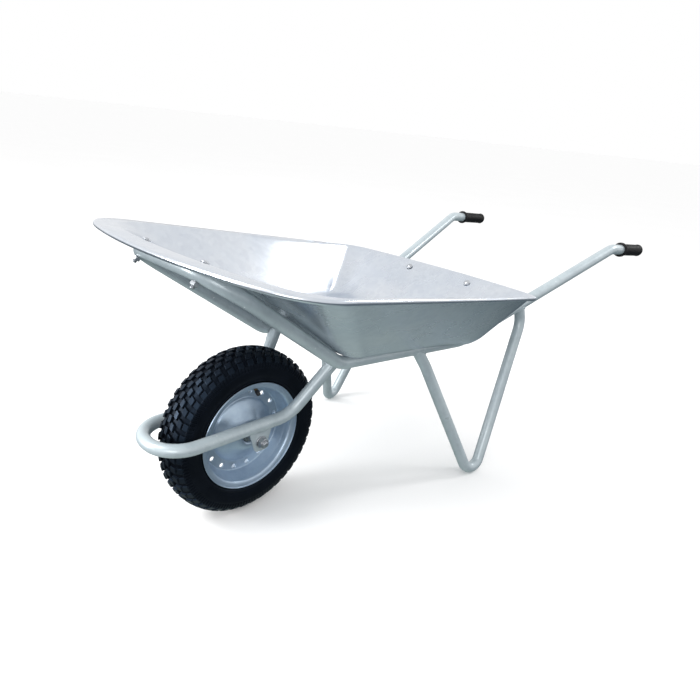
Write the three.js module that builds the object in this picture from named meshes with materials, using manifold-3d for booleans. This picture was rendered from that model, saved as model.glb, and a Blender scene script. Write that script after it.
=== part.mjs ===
// Single-wheel site barrow with a shallow pressed tray, in millimetres, +Z up.
// The wheel is at -Y, the handles reach towards +Y and the axle lies along X.
// Pieces are modelled from the point on the ground under the axle, and the
// finished group is moved so that the origin lies under the middle of the length.
import * as THREE from 'three';
import { mergeVertices } from 'three/addons/utils/BufferGeometryUtils.js';
import Module from 'manifold-3d';

const wasm = await Module();
wasm.setup();

// ---- Driving dimensions ----------------------------------------------------

const FIT_GAP = 0.3; // between pieces that touch
const WELD_GAP = 0.3; // between welded pieces

// Wheel
const TYRE_RADIUS = 175;
const TYRE_HALF_WIDTH = 41.5;
const TREAD_THICKNESS = 8;
const SIDEWALL_THICKNESS = 6;
const FLANGE_RADIUS = 113.5;
const BEAD_SEAT_RADIUS = 101.5;
const RIM_HALF_WIDTH = 36.5;
const DISC_THICKNESS = 1.8;
const DISC_FLAT_OUTER = 91;
const DISC_FLAT_INNER = 71;
const VENT_CIRCLE_RADIUS = 83;
const VENT_RADIUS = 5;
const VENT_COUNT = 16;
const VENT_PHASE = 10.3; // degrees
const INNER_TUBE_WALL = 2.5;
const VALVE_ANGLE = 81; // degrees from +Y towards +Z
const VALVE_RADIUS = 4;
const VALVE_LENGTH = 40;
const VALVE_SLOPE = -0.6; // radial change for each millimetre outwards

// Hub
const AXLE_RADIUS = 6;
const BEARING_RADIUS = 16;
const BEARING_WIDTH = 10;
const BEARING_OUTER_FACE = 28;
const RACE_SPLIT_RADIUS = 9.75;
const SLEEVE_THICKNESS = 3;
const HANGER_INNER_FACE = 60;
const HANGER_THICKNESS = 4;
const HANGER_HALF_LENGTH = 27;
const HANGER_DROP = 21; // below the axle's centre
const NUT_ACROSS_FLATS = 19;
const NUT_HEIGHT = 10;
const AXLE_WASHER_RADIUS = 12;
const AXLE_WASHER_THICKNESS = 2.5;
const AXLE_OVERHANG = 5;

// Main frame: one tube from grip to grip
const RAIL_RADIUS = 13.6;
const RAIL_WALL = 2.3;
const RAIL_BELOW_TYRE_TOP = 22; // level stretch under the tray
const RAIL_BEND_RADIUS = 62;
const FRONT_BEND_RADIUS = 80;
const FRONT_HALF_WIDTH = 148;
const KNEE_HALF_WIDTH = 118;
const HANDLE_HALF_WIDTH = 266;
const GRIP_END_HALF_WIDTH = 275;
const KNEE_Y = 145;
const FRONT_SLOPE = 34.5; // degrees, rise of the rails in front of the knees
const FRONT_RUN = 302; // from the knees forward to the front cross part
const REAR_BEND_Y = 485;
const HANDLE_BEND_Y = 1037;
const HANDLE_SLOPE = 19.2; // degrees
const GRIP_REACH = 187; // from the handle bend to the tube's end
const GRIP_SLOPE = -4.5; // degrees

// Wheel fork and guard loop: one tube
const FORK_RADIUS = 12.7;
const FORK_WALL = 2;
const FORK_HALF_WIDTH = 62;
const FORK_ABOVE_AXLE = 36;
const FORK_FRONT_CLEARANCE = 14;
const FORK_BEND_Y = 70;
const FORK_BEND_RADIUS = 60;
const FORK_TOP_Y = 158;
const FORK_TOP_INSET = 23; // from the rail's centre line inwards

// Legs
const LEG_RADIUS = 12.9;
const LEG_WALL = 2;
const LEG_FOOT_HALF_WIDTH = 259;
const LEG_FOOT_Y = 514;
const LEG_FOOT_BEND_RADIUS = 28;
const LEG_FRONT_Y = 350;
const LEG_REAR_Y = 679;
const LEG_BEND_DROP = 45;
const LEG_BEND_RADIUS = 60;

// Cross members
const CROSS_BAR_RADIUS = 10.9;
const CROSS_BAR_WALL = 2;
const CROSS_BAR_Y = 322;
const SUPPORT_THICKNESS = 4;
const SUPPORT_WIDTH = 30;

// Tray
const SHEET = 1.2;
const RIM_SLOPE = -8; // degrees
const RIM_FRONT = { y: -135, halfWidth: 310, bow: 24, corner: 100 }; // top of the walls
const RIM_REAR = { y: 599, halfWidth: 280, bow: 33, corner: 32 };
const LIP_FRONT_REACH = 39; // flange in front of the front wall
const LIP_REACH = 10; // flange round the sides and the rear
const LIP_CORNER_EXTRA = 10;
const BEAD_RADIUS = 4;
const FLOOR_FRONT = { halfWidth: 156, bow: 0, corner: 40 };
const FLOOR_REAR = { y: 490, halfWidth: 226, bow: 0, corner: 40 };
const FLOOR_BLEND = 26;
const RIM_BLEND = 7;

// Grips
const GRIP_LENGTH = 132;
const GRIP_WALL = 2.6;
const GRIP_COLLAR_FLARE = 3.8; // beyond the grip's own radius
const GRIP_COLLAR_LENGTH = 5;
const GRIP_END_THICKNESS = 4;
const GRIP_RIB_COUNT = 6;

// Tray fasteners
const BOLT_RADIUS = 4;
const BOLT_HEAD_FLATS = 13;
const BOLT_HEAD_HEIGHT = 5.3;
const BOLT_NUT_HEIGHT = 6.5;
const BOLT_WASHER_RADIUS = 8.5;
const BOLT_WASHER_THICKNESS = 1.6;
const BOLT_CLEARANCE = 0.4;
const BOLT_OVERHANG = 5;
const FRONT_BOLT_X = 89.5;
const REAR_BOLT_X = 92;
const REAR_BOLT_BELOW_RIM = 24;
const WASHER_SEAT_GAP = 1.1; // the walls curve under the washers

// Facets
const WHEEL_FACETS = 28;
const INNER_TUBE_FACETS = 20;
const HUB_FACETS = 16;
const GRIP_FACETS = 14;
const TUBE_SIDES = 10;
const BORE_SIDES = 6;
const FASTENER_SIDES = 12;
const BEND_STEP = 18; // degrees turned between two stations of a bend

// ---- Sizes worked out from those above -------------------------------------

const degrees = THREE.MathUtils.degToRad;
const AXLE_HEIGHT = TYRE_RADIUS;
const RAIL_HEIGHT = 2 * TYRE_RADIUS - RAIL_BELOW_TYRE_TOP;
const FLOOR_HEIGHT = RAIL_HEIGHT + RAIL_RADIUS + FIT_GAP + SHEET / 2;
const FRONT_CROSS_Y = KNEE_Y - FRONT_RUN;
const FRONT_CROSS_HEIGHT = RAIL_HEIGHT + FRONT_RUN * Math.tan(degrees(FRONT_SLOPE));
const HANDLE_RUN = HANDLE_BEND_Y - REAR_BEND_Y;
const HANDLE_BEND_HEIGHT = RAIL_HEIGHT + HANDLE_RUN * Math.tan(degrees(HANDLE_SLOPE));
const TUBE_END_Y = HANDLE_BEND_Y + GRIP_REACH;
const TUBE_END_HEIGHT = HANDLE_BEND_HEIGHT + GRIP_REACH * Math.tan(degrees(GRIP_SLOPE));
const FORK_HEIGHT = AXLE_HEIGHT + FORK_ABOVE_AXLE;
const FORK_FRONT_Y = -(TYRE_RADIUS + FORK_FRONT_CLEARANCE + FORK_RADIUS);
const HANGER_OUTER_FACE = HANGER_INNER_FACE + HANGER_THICKNESS;
const GRIP_RADIUS = RAIL_RADIUS + GRIP_WALL;
const GRIP_COLLAR_RADIUS = GRIP_RADIUS + GRIP_COLLAR_FLARE;

const PAINT = { color: 0xaeb4b8, roughness: 0.42, metalness: 0.1 };
const GALVANISED = { color: 0xb9c3cd, roughness: 0.35, metalness: 0.85 };
const WHEEL_STEEL = { color: 0x8fa3b8, roughness: 0.38, metalness: 0.7 };
const ZINC = { color: 0xc9ccd0, roughness: 0.3, metalness: 0.9 };
const BEARING_STEEL = { color: 0xa8abb0, roughness: 0.22, metalness: 1 };
const RUBBER = { color: 0x0c0d10, roughness: 0.75, metalness: 0 };
const GRIP_PLASTIC = { color: 0x101114, roughness: 0.6, metalness: 0 };

// ---- Solids and meshes -----------------------------------------------------

const barrow = new THREE.Group();
barrow.name = 'wheelbarrow';

// A geometry as a solid, with its corners merged and its zero triangles dropped.
function solidOf(geometry) {
  const bare = geometry.clone();
  bare.deleteAttribute('normal');
  bare.deleteAttribute('uv');
  const merged = mergeVertices(bare, 1e-3);
  const corners = merged.index.array;
  const kept = [];
  for (let i = 0; i < corners.length; i += 3) {
    const [a, b, c] = [corners[i], corners[i + 1], corners[i + 2]];
    if (a !== b && b !== c && c !== a) kept.push(a, b, c);
  }
  return new wasm.Manifold(new wasm.Mesh({
    numProp: 3,
    vertProperties: merged.attributes.position.array,
    triVerts: new Uint32Array(kept),
  }));
}

function add(name, solid, finish) {
  const shape = solid.getMesh();
  const geometry = new THREE.BufferGeometry();
  geometry.setAttribute('position', new THREE.BufferAttribute(shape.vertProperties, 3));
  geometry.setIndex(new THREE.BufferAttribute(shape.triVerts, 1));
  geometry.computeVertexNormals();
  const mesh = new THREE.Mesh(geometry, new THREE.MeshStandardMaterial(finish));
  mesh.name = name;
  barrow.add(mesh);
}

// A path through stations, which are the places where the section is set.
class StationPath extends THREE.Curve {
  constructor(stations) {
    super();
    this.stations = stations;
  }

  getPoint(t, target = new THREE.Vector3()) {
    const place = t * (this.stations.length - 1);
    const index = Math.min(Math.floor(place), this.stations.length - 2);
    return target.lerpVectors(this.stations[index].point, this.stations[index + 1].point, place - index);
  }

  getPointAt(u, target) {
    return this.getPoint(u, target);
  }

  getTangentAt(u, target = new THREE.Vector3()) {
    const index = Math.round(u * (this.stations.length - 1));
    return target.copy(this.stations[index].tangent);
  }
}

// Straight runs between corners, with each inner corner turned into an arc.
function bentPath(corners, bendRadii) {
  const stations = [];
  const last = corners.length - 1;
  const direction = (i) => corners[i + 1].clone().sub(corners[i]).normalize();
  stations.push({ point: corners[0].clone(), tangent: direction(0) });
  for (let i = 1; i < last; i += 1) {
    const before = direction(i - 1);
    const after = direction(i);
    const turn = before.angleTo(after);
    const radius = bendRadii[i - 1];
    const trim = radius * Math.tan(turn / 2);
    const axis = before.clone().cross(after).normalize();
    const start = corners[i].clone().addScaledVector(before, -trim);
    const centre = start.clone().addScaledVector(axis.clone().cross(before), radius);
    const steps = Math.max(2, Math.ceil(turn / degrees(BEND_STEP)));
    for (let s = 0; s <= steps; s += 1) {
      const angle = (turn * s) / steps;
      const arm = start.clone().sub(centre).applyAxisAngle(axis, angle);
      stations.push({ point: centre.clone().add(arm), tangent: before.clone().applyAxisAngle(axis, angle) });
    }
  }
  stations.push({ point: corners[last].clone(), tangent: direction(last - 1) });
  return new StationPath(stations);
}

function polygon(radius, sides, Outline) {
  const points = [];
  for (let i = 0; i < sides; i += 1) {
    const angle = (2 * Math.PI * i) / sides;
    points.push(new THREE.Vector2(radius * Math.cos(angle), radius * Math.sin(angle)));
  }
  return new Outline(points);
}

function sweep(path, radius, wall) {
  const section = polygon(radius, TUBE_SIDES, THREE.Shape);
  if (wall > 0) section.holes.push(polygon(radius - wall, BORE_SIDES, THREE.Path));
  const steps = path.stations.length - 1;
  return solidOf(new THREE.ExtrudeGeometry(section, { steps, extrudePath: path }));
}

// A body of revolution about X, from the [x, radius] corners of half its section.
function turnedGeometry(profile, facets) {
  const points = profile.map(([x, radius]) => new THREE.Vector2(radius, x));
  if (THREE.ShapeUtils.area(points) < 0) points.reverse();
  return new THREE.LatheGeometry(points, facets).rotateZ(-Math.PI / 2);
}

function turned(profile, facets = WHEEL_FACETS) {
  return solidOf(turnedGeometry(profile, facets));
}

// Radius of a facetted bore whose flats clear a round of the given radius.
function roundBore(radius, facets) {
  return radius / Math.cos(Math.PI / facets);
}

function ring(fromX, toX, inner, outer, facets) {
  return turned([[fromX, inner], [toX, inner], [toX, outer], [fromX, outer], [fromX, inner]], facets);
}

// A flat piece: a shape in a plane, thickened along that plane's normal.
function plate(shape, thickness, placement) {
  const options = { depth: thickness, bevelEnabled: false, curveSegments: 6 };
  const geometry = new THREE.ExtrudeGeometry(shape, options);
  geometry.applyMatrix4(placement);
  return solidOf(geometry);
}

// A closed band that runs along a line of [x, y] corners, half its thickness each side.
function band(line, thickness) {
  const near = [];
  const far = [];
  line.forEach(([x, y], i) => {
    const [px, py] = line[Math.max(i - 1, 0)];
    const [nx, ny] = line[Math.min(i + 1, line.length - 1)];
    const into = new THREE.Vector2(x - px, y - py).normalize();
    const out = new THREE.Vector2(nx - x, ny - y).normalize();
    const along = into.clone().add(out).normalize();
    const spread = thickness / 2 / Math.max(0.5, along.dot(i === 0 ? out : into));
    near.push([x + along.y * spread, y - along.x * spread]);
    far.push([x - along.y * spread, y + along.x * spread]);
  });
  return { near, far };
}

const vector = (x, y, z) => new THREE.Vector3(x, y, z);

// ---- Main frame tube -------------------------------------------------------

// Half-width of the rails, which spread evenly from the knees to the handle bends.
function railX(y) {
  return THREE.MathUtils.mapLinear(y, KNEE_Y, HANDLE_BEND_Y, KNEE_HALF_WIDTH, HANDLE_HALF_WIDTH);
}

// Height of the rail's centre line behind the rear bend.
function railHeight(y) {
  return RAIL_HEIGHT + Math.max(0, y - REAR_BEND_Y) * Math.tan(degrees(HANDLE_SLOPE));
}

function railCorners(side) {
  return [
    vector(side * GRIP_END_HALF_WIDTH, TUBE_END_Y, TUBE_END_HEIGHT),
    vector(side * HANDLE_HALF_WIDTH, HANDLE_BEND_Y, HANDLE_BEND_HEIGHT),
    vector(side * railX(REAR_BEND_Y), REAR_BEND_Y, RAIL_HEIGHT),
    vector(side * KNEE_HALF_WIDTH, KNEE_Y, RAIL_HEIGHT),
    vector(side * FRONT_HALF_WIDTH, FRONT_CROSS_Y, FRONT_CROSS_HEIGHT),
  ];
}

const halfBends = [RAIL_BEND_RADIUS, RAIL_BEND_RADIUS, RAIL_BEND_RADIUS, FRONT_BEND_RADIUS];
const railBends = [...halfBends, ...halfBends.slice().reverse()];
const railPath = bentPath([...railCorners(1), ...railCorners(-1).reverse()], railBends);
const railEnvelope = sweep(railPath, RAIL_RADIUS + WELD_GAP, 0);

// ---- Tray ------------------------------------------------------------------

// Plan outline of one level of the tray, anticlockwise from above, starting at the
// front edge's left end. Each edge keeps its number of points at every level.
const EDGE_POINTS = { end: 9, corner: 5, side: 2 };

function trayOutline(front, rear) {
  const frontEnd = front.halfWidth - front.corner;
  const rearEnd = rear.halfWidth - rear.corner;
  const frontCorner = [front.halfWidth, front.y + (2 * front.bow * front.corner) / frontEnd];
  const rearCorner = [rear.halfWidth, rear.y - (2 * rear.bow * rear.corner) / rearEnd];
  const frontSideY = front.y + front.corner;
  const rearSideY = rear.y - rear.corner;
  const middle = [(front.halfWidth + rear.halfWidth) / 2, (frontSideY + rearSideY) / 2];
  const rightHalf = [
    [EDGE_POINTS.corner, [frontEnd, front.y], frontCorner, [front.halfWidth, frontSideY]],
    [EDGE_POINTS.side, [front.halfWidth, frontSideY], middle, [rear.halfWidth, rearSideY]],
    [EDGE_POINTS.corner, [rear.halfWidth, rearSideY], rearCorner, [rearEnd, rear.y]],
  ];
  const flip = ([x, y]) => [-x, y];
  const flipCurve = ([count, ...corners]) => [count, ...corners.map(flip).reverse()];
  const curves = [
    [EDGE_POINTS.end, [-frontEnd, front.y], [0, front.y - 2 * front.bow], [frontEnd, front.y]],
    ...rightHalf,
    [EDGE_POINTS.end, [rearEnd, rear.y], [0, rear.y + 2 * rear.bow], [-rearEnd, rear.y]],
    ...rightHalf.map(flipCurve).reverse(),
  ];
  return curves.flatMap(([count, ...corners]) => {
    const curve = new THREE.QuadraticBezierCurve(...corners.map((corner) => new THREE.Vector2(...corner)));
    return Array.from({ length: count }, (_, i) => curve.getPoint(i / count));
  });
}

// The front wall lies along the rails, just clear of the front cross part.
const wallNormalY = Math.sin(degrees(FRONT_SLOPE));
const wallNormalZ = Math.cos(degrees(FRONT_SLOPE));
const wallStandoff = RAIL_RADIUS + FIT_GAP + SHEET / 2;
const frontWallY = FRONT_CROSS_Y + wallStandoff * wallNormalY;
const frontWallHeight = FRONT_CROSS_HEIGHT + wallStandoff * wallNormalZ;
const wallTopY = RIM_FRONT.y - RIM_FRONT.bow;
const wallTopHeight = frontWallHeight + (frontWallY - wallTopY) * Math.tan(degrees(FRONT_SLOPE));
const floorFrontY = frontWallY + (frontWallHeight - FLOOR_HEIGHT) / Math.tan(degrees(FRONT_SLOPE));
const floorFront = { ...FLOOR_FRONT, y: floorFrontY };

function rimHeight(y) {
  return wallTopHeight + (y - wallTopY) * Math.tan(degrees(RIM_SLOPE));
}

// One end of the lip, which stands outside the top of the walls.
function lipEnd({ y, halfWidth, bow, corner }, reach) {
  return { y: y + reach, halfWidth: halfWidth + LIP_REACH, bow, corner: corner + LIP_CORNER_EXTRA };
}

const floorOutline = trayOutline(floorFront, FLOOR_REAR);
const rimOutline = trayOutline(RIM_FRONT, RIM_REAR);
const lipOutline = trayOutline(lipEnd(RIM_FRONT, -LIP_FRONT_REACH), lipEnd(RIM_REAR, LIP_REACH));

function curvePoints(corners, steps) {
  const curve = new THREE.QuadraticBezierCurve(...corners.map(([x, y]) => new THREE.Vector2(x, y)));
  return curve.getPoints(steps).map((p) => [p.x, p.y]);
}

// Middle of the sheet from the floor, up the wall, over the flange and round the bead.
function trayLine(run, rise, lipRun, lipRise) {
  const length = Math.hypot(run, rise);
  const [ux, uy] = [run / length, rise / length];
  const line = curvePoints([[-FLOOR_BLEND, 0], [0, 0], [ux * FLOOR_BLEND, uy * FLOOR_BLEND]], 4);
  const shoulder = [[run - ux * RIM_BLEND, rise - uy * RIM_BLEND], [run, rise], [run + RIM_BLEND, rise]];
  line.push(...curvePoints(shoulder, 3));
  for (let i = 0; i <= 4; i += 1) {
    const angle = Math.PI / 2 - (i / 4) * degrees(215);
    const x = lipRun + BEAD_RADIUS * Math.cos(angle);
    line.push([x, lipRise - BEAD_RADIUS + BEAD_RADIUS * Math.sin(angle)]);
  }
  return line;
}

function trayShell() {
  const positions = [];
  const rings = floorOutline.map((foot, i) => {
    const lip = lipOutline[i];
    const outward = lip.clone().sub(foot);
    const lipRun = outward.length();
    outward.normalize();
    const run = rimOutline[i].clone().sub(foot).dot(outward);
    const rise = rimHeight(rimOutline[i].y) - FLOOR_HEIGHT;
    const { near, far } = band(trayLine(run, rise, lipRun, rimHeight(lip.y) - FLOOR_HEIGHT), SHEET);
    return [...far, ...near.reverse()].map(([u, v]) => {
      positions.push(foot.x + outward.x * u, foot.y + outward.y * u, FLOOR_HEIGHT + v);
      return positions.length / 3 - 1;
    });
  });
  const triangles = [];
  const middle = [0, (floorFront.y + FLOOR_REAR.y) / 2];
  const insideCentre = positions.length / 3;
  positions.push(...middle, FLOOR_HEIGHT + SHEET / 2, ...middle, FLOOR_HEIGHT - SHEET / 2);
  rings.forEach((ringHere, i) => {
    const ringNext = rings[(i + 1) % rings.length];
    for (let j = 0; j < ringHere.length - 1; j += 1) {
      triangles.push(ringHere[j], ringHere[j + 1], ringNext[j + 1]);
      triangles.push(ringHere[j], ringNext[j + 1], ringNext[j]);
    }
    triangles.push(insideCentre, ringHere[0], ringNext[0]);
    triangles.push(insideCentre + 1, ringNext.at(-1), ringHere.at(-1));
  });
  const geometry = new THREE.BufferGeometry();
  geometry.setAttribute('position', new THREE.Float32BufferAttribute(positions, 3));
  geometry.setIndex(triangles);
  return solidOf(geometry);
}

// Place and outward direction of the tray's end wall at a half-width, a given
// share of the way up from the floor. The sign is -1 for the front, +1 for the rear.
function endWall(sign, x, share) {
  const [floor, rim] = sign < 0 ? [floorFront, RIM_FRONT] : [FLOOR_REAR, RIM_REAR];
  const floorEnd = floor.halfWidth - floor.corner;
  const rimEnd = rim.halfWidth - rim.corner;
  const place = (across, up) => {
    const bowed = rim.y + sign * rim.bow * (1 - across * across);
    const y = THREE.MathUtils.lerp(floor.y, bowed, up);
    const width = THREE.MathUtils.lerp(floorEnd, rimEnd, up);
    return vector(across * width, y, THREE.MathUtils.lerp(FLOOR_HEIGHT, rimHeight(bowed), up));
  };
  const across = x / THREE.MathUtils.lerp(floorEnd, rimEnd, share);
  const point = place(across, share);
  const sideways = place(across + 0.01, share).sub(point);
  const upwards = place(across, share + 0.01).sub(point);
  const outward = sideways.cross(upwards).normalize();
  if (outward.z > 0) outward.negate();
  return { point, outward };
}

// ---- Tray fasteners --------------------------------------------------------

// Turns a body made along X so that it runs along a direction from a point.
function aimed(point, direction) {
  const turn = new THREE.Quaternion().setFromUnitVectors(vector(1, 0, 0), direction);
  return new THREE.Matrix4().compose(point, turn, vector(1, 1, 1));
}

function moved(solidMaker, point, direction) {
  const geometry = solidMaker();
  geometry.applyMatrix4(aimed(point, direction));
  return solidOf(geometry);
}

function rod(from, to, radius, sides) {
  const geometry = new THREE.CylinderGeometry(radius, radius, to - from, sides);
  geometry.rotateZ(-Math.PI / 2);
  geometry.translate((from + to) / 2, 0, 0);
  return geometry;
}

const hexRadius = (flats) => flats / 2 / Math.cos(Math.PI / 6);

// A bolt from inside the tray, through the sheet and a frame piece, with its nut.
// Distances are measured along the bolt from the middle of the tray's sheet.
function trayFastener(name, point, direction, grip) {
  const headFace = -(SHEET / 2 + WASHER_SEAT_GAP + BOLT_WASHER_THICKNESS + FIT_GAP);
  const washerFace = headFace + FIT_GAP;
  const nutFace = grip + FIT_GAP;
  const end = nutFace + BOLT_NUT_HEIGHT + BOLT_OVERHANG;
  const hole = BOLT_RADIUS + BOLT_CLEARANCE;
  const along = (from, to, radius, sides) => moved(() => rod(from, to, radius, sides), point, direction);
  const shank = along(headFace - 1, end, BOLT_RADIUS, FASTENER_SIDES);
  const head = along(headFace - BOLT_HEAD_HEIGHT, headFace, hexRadius(BOLT_HEAD_FLATS), 6);
  const bore = along(headFace - 2, end + BOLT_OVERHANG, hole, FASTENER_SIDES);
  const washer = along(washerFace, washerFace + BOLT_WASHER_THICKNESS, BOLT_WASHER_RADIUS, FASTENER_SIDES);
  const nut = along(nutFace, nutFace + BOLT_NUT_HEIGHT, hexRadius(BOLT_HEAD_FLATS), 6);
  add(`${name}_bolt`, head.add(shank), ZINC);
  add(`${name}_washer`, washer.subtract(bore), ZINC);
  add(`${name}_nut`, nut.subtract(bore), ZINC);
  return bore;
}

const frontCross = vector(0, FRONT_CROSS_Y, FRONT_CROSS_HEIGHT);
const frontShare = (frontWallHeight - FLOOR_HEIGHT) / (wallTopHeight - FLOOR_HEIGHT);
const rearTopY = RIM_REAR.y + RIM_REAR.bow;
const rearWallLength = Math.hypot(rearTopY - FLOOR_REAR.y, rimHeight(rearTopY) - FLOOR_HEIGHT);
const rearShare = 1 - REAR_BOLT_BELOW_RIM / rearWallLength;
const rearMiddle = endWall(1, 0, rearShare);
const supportStandoff = SHEET / 2 + FIT_GAP;

const bores = [];
for (const [side, hand] of [[1, 'right'], [-1, 'left']]) {
  const front = endWall(-1, side * FRONT_BOLT_X, frontShare);
  const toTube = frontCross.clone().setX(side * FRONT_BOLT_X).sub(front.point).dot(front.outward);
  bores.push(trayFastener(`front_${hand}`, front.point, front.outward, toTube + RAIL_RADIUS));
  const rear = endWall(1, side * REAR_BOLT_X, rearShare);
  const toSupport = rearMiddle.point.clone().sub(rear.point).dot(rearMiddle.outward);
  const rearGrip = toSupport + supportStandoff + SUPPORT_THICKNESS;
  bores.push(trayFastener(`rear_${hand}`, rear.point, rearMiddle.outward, rearGrip));
}

let tray = trayShell();
let rails = sweep(railPath, RAIL_RADIUS, RAIL_WALL);
for (const bore of bores) {
  tray = tray.subtract(bore);
  rails = rails.subtract(bore);
}
add('tray', tray, GALVANISED);
add('main_frame_tube', rails, PAINT);

// ---- Rear tray support: a flat arch against the rear wall, down to the rails ----

function supportPlacement() {
  const up = vector(0, rearMiddle.outward.z, -rearMiddle.outward.y).multiplyScalar(-1);
  const basis = new THREE.Matrix4().makeBasis(vector(-1, 0, 0), up, rearMiddle.outward);
  const corner = rearMiddle.point.clone().addScaledVector(rearMiddle.outward, supportStandoff);
  return { up, matrix: basis.setPosition(corner) };
}

function rearSupport() {
  const { up, matrix } = supportPlacement();
  const fall = rearMiddle.point.y - REAR_BEND_Y;
  const legDrop = fall / Math.abs(up.y);
  const footX = railX(REAR_BEND_Y);
  const half = SUPPORT_WIDTH / 2;
  const shape = new THREE.Shape();
  shape.moveTo(-footX - half, -legDrop);
  shape.lineTo(-REAR_BOLT_X - SUPPORT_WIDTH, half);
  shape.lineTo(REAR_BOLT_X + SUPPORT_WIDTH, half);
  shape.lineTo(footX + half, -legDrop);
  shape.lineTo(footX - half, -legDrop);
  shape.lineTo(REAR_BOLT_X + half, -half);
  shape.lineTo(-REAR_BOLT_X - half, -half);
  shape.lineTo(-footX + half, -legDrop);
  shape.closePath();
  let solid = plate(shape, SUPPORT_THICKNESS, matrix).subtract(railEnvelope);
  for (const bore of bores) solid = solid.subtract(bore);
  return largestBody(solid);
}

// The biggest separate piece of a cut solid.
function largestBody(solid) {
  const pieces = solid.decompose();
  return pieces.reduce((best, piece) => (piece.volume() > best.volume() ? piece : best));
}

add('rear_tray_support', rearSupport(), PAINT);

// ---- Lower cross bar between the rails -------------------------------------

const barEnd = railX(CROSS_BAR_Y);
const barPath = bentPath([-barEnd, barEnd].map((x) => vector(x, CROSS_BAR_Y, RAIL_HEIGHT)), []);
const crossBar = sweep(barPath, CROSS_BAR_RADIUS, CROSS_BAR_WALL).subtract(railEnvelope);
add('lower_cross_bar', crossBar, PAINT);

// ---- Fork and guard loop ---------------------------------------------------

function forkCorners(side) {
  return [
    vector(side * (railX(FORK_TOP_Y) - FORK_TOP_INSET), FORK_TOP_Y, RAIL_HEIGHT),
    vector(side * FORK_HALF_WIDTH, FORK_BEND_Y, FORK_HEIGHT),
    vector(side * FORK_HALF_WIDTH, FORK_FRONT_Y, FORK_HEIGHT),
  ];
}

const forkBends = [FORK_BEND_RADIUS, FORK_HALF_WIDTH - 2, FORK_HALF_WIDTH - 2, FORK_BEND_RADIUS];
const forkPath = bentPath([...forkCorners(1), ...forkCorners(-1).reverse()], forkBends);
add('fork_guard_tube', sweep(forkPath, FORK_RADIUS, FORK_WALL).subtract(railEnvelope), PAINT);

// ---- Legs ------------------------------------------------------------------

// The foot's virtual corner, set so that the outside of the foot bend meets the ground.
function legCorners(side) {
  const frontTop = vector(side * railX(LEG_FRONT_Y), LEG_FRONT_Y, RAIL_HEIGHT);
  const rearTop = vector(side * railX(LEG_REAR_Y), LEG_REAR_Y, railHeight(LEG_REAR_Y));
  const frontBend = frontTop.clone().add(vector(side * 12, 0.62 * LEG_BEND_DROP, -LEG_BEND_DROP));
  const rearBend = rearTop.clone().add(vector(side * 7, 0.26 * LEG_BEND_DROP, -LEG_BEND_DROP));
  const foot = vector(side * LEG_FOOT_HALF_WIDTH, LEG_FOOT_Y, 0);
  for (let pass = 0; pass < 6; pass += 1) {
    const path = bentPath([frontBend, foot, rearBend], [LEG_FOOT_BEND_RADIUS]);
    const lowest = Math.min(...path.stations.map(({ point }) => point.z));
    foot.z += LEG_RADIUS - lowest;
  }
  return [frontTop, frontBend, foot, rearBend, rearTop];
}

for (const [side, hand] of [[1, 'right'], [-1, 'left']]) {
  const legPath = bentPath(legCorners(side), [LEG_BEND_RADIUS, LEG_FOOT_BEND_RADIUS, LEG_BEND_RADIUS]);
  add(`leg_${hand}`, sweep(legPath, LEG_RADIUS, LEG_WALL).subtract(railEnvelope), PAINT);
}

// ---- Grips -----------------------------------------------------------------

// Ribbed sleeve with a collar at its mouth and a closed end, made along X.
function gripProfile() {
  const bore = roundBore(RAIL_RADIUS + FIT_GAP, GRIP_FACETS);
  const profile = [[0, bore], [0, GRIP_COLLAR_RADIUS], [GRIP_COLLAR_LENGTH, GRIP_COLLAR_RADIUS]];
  const ribbed = GRIP_LENGTH - 3 * GRIP_COLLAR_LENGTH;
  for (let i = 0; i < GRIP_RIB_COUNT; i += 1) {
    const pitch = ribbed / GRIP_RIB_COUNT;
    const x = GRIP_COLLAR_LENGTH + 2 + i * pitch;
    profile.push([x, GRIP_RADIUS - 1.2], [x + pitch / 2, GRIP_RADIUS]);
  }
  profile.push([GRIP_LENGTH - GRIP_COLLAR_LENGTH, GRIP_RADIUS + 1.2], [GRIP_LENGTH - 1.5, GRIP_RADIUS]);
  profile.push([GRIP_LENGTH, GRIP_RADIUS - 4], [GRIP_LENGTH, 0], [GRIP_LENGTH - GRIP_END_THICKNESS, 0]);
  profile.push([GRIP_LENGTH - GRIP_END_THICKNESS, bore], [0, bore]);
  return profile;
}

for (const [side, hand] of [[1, 'right'], [-1, 'left']]) {
  const [end, bend] = railCorners(side);
  const direction = end.clone().sub(bend).normalize();
  const mouth = end.clone().addScaledVector(direction, GRIP_END_THICKNESS + FIT_GAP - GRIP_LENGTH);
  const geometry = turnedGeometry(gripProfile(), GRIP_FACETS);
  geometry.applyMatrix4(aimed(mouth, direction));
  add(`grip_${hand}`, solidOf(geometry), GRIP_PLASTIC);
}

// ---- Wheel -----------------------------------------------------------------

// Middle of the right-hand disc's sheet from the bearing collar out to the flange.
const collarRadius = BEARING_RADIUS + FIT_GAP + DISC_THICKNESS / 2;
const discFlatX = DISC_THICKNESS / 2 + FIT_GAP / 2;
const discLine = [
  [BEARING_OUTER_FACE - BEARING_WIDTH, collarRadius],
  [BEARING_OUTER_FACE + 1.5, collarRadius],
  [BEARING_OUTER_FACE + 3, collarRadius + 4],
  [BEARING_OUTER_FACE - 1.5, collarRadius + 17],
  [BEARING_OUTER_FACE / 2 + 1, collarRadius + 32],
  [discFlatX + 4.5, DISC_FLAT_INNER - 6],
  [discFlatX, DISC_FLAT_INNER],
  [discFlatX, DISC_FLAT_OUTER],
  [0.62 * RIM_HALF_WIDTH, BEAD_SEAT_RADIUS - 2.5],
  [RIM_HALF_WIDTH - 3, BEAD_SEAT_RADIUS],
  [RIM_HALF_WIDTH, FLANGE_RADIUS],
];

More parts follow.
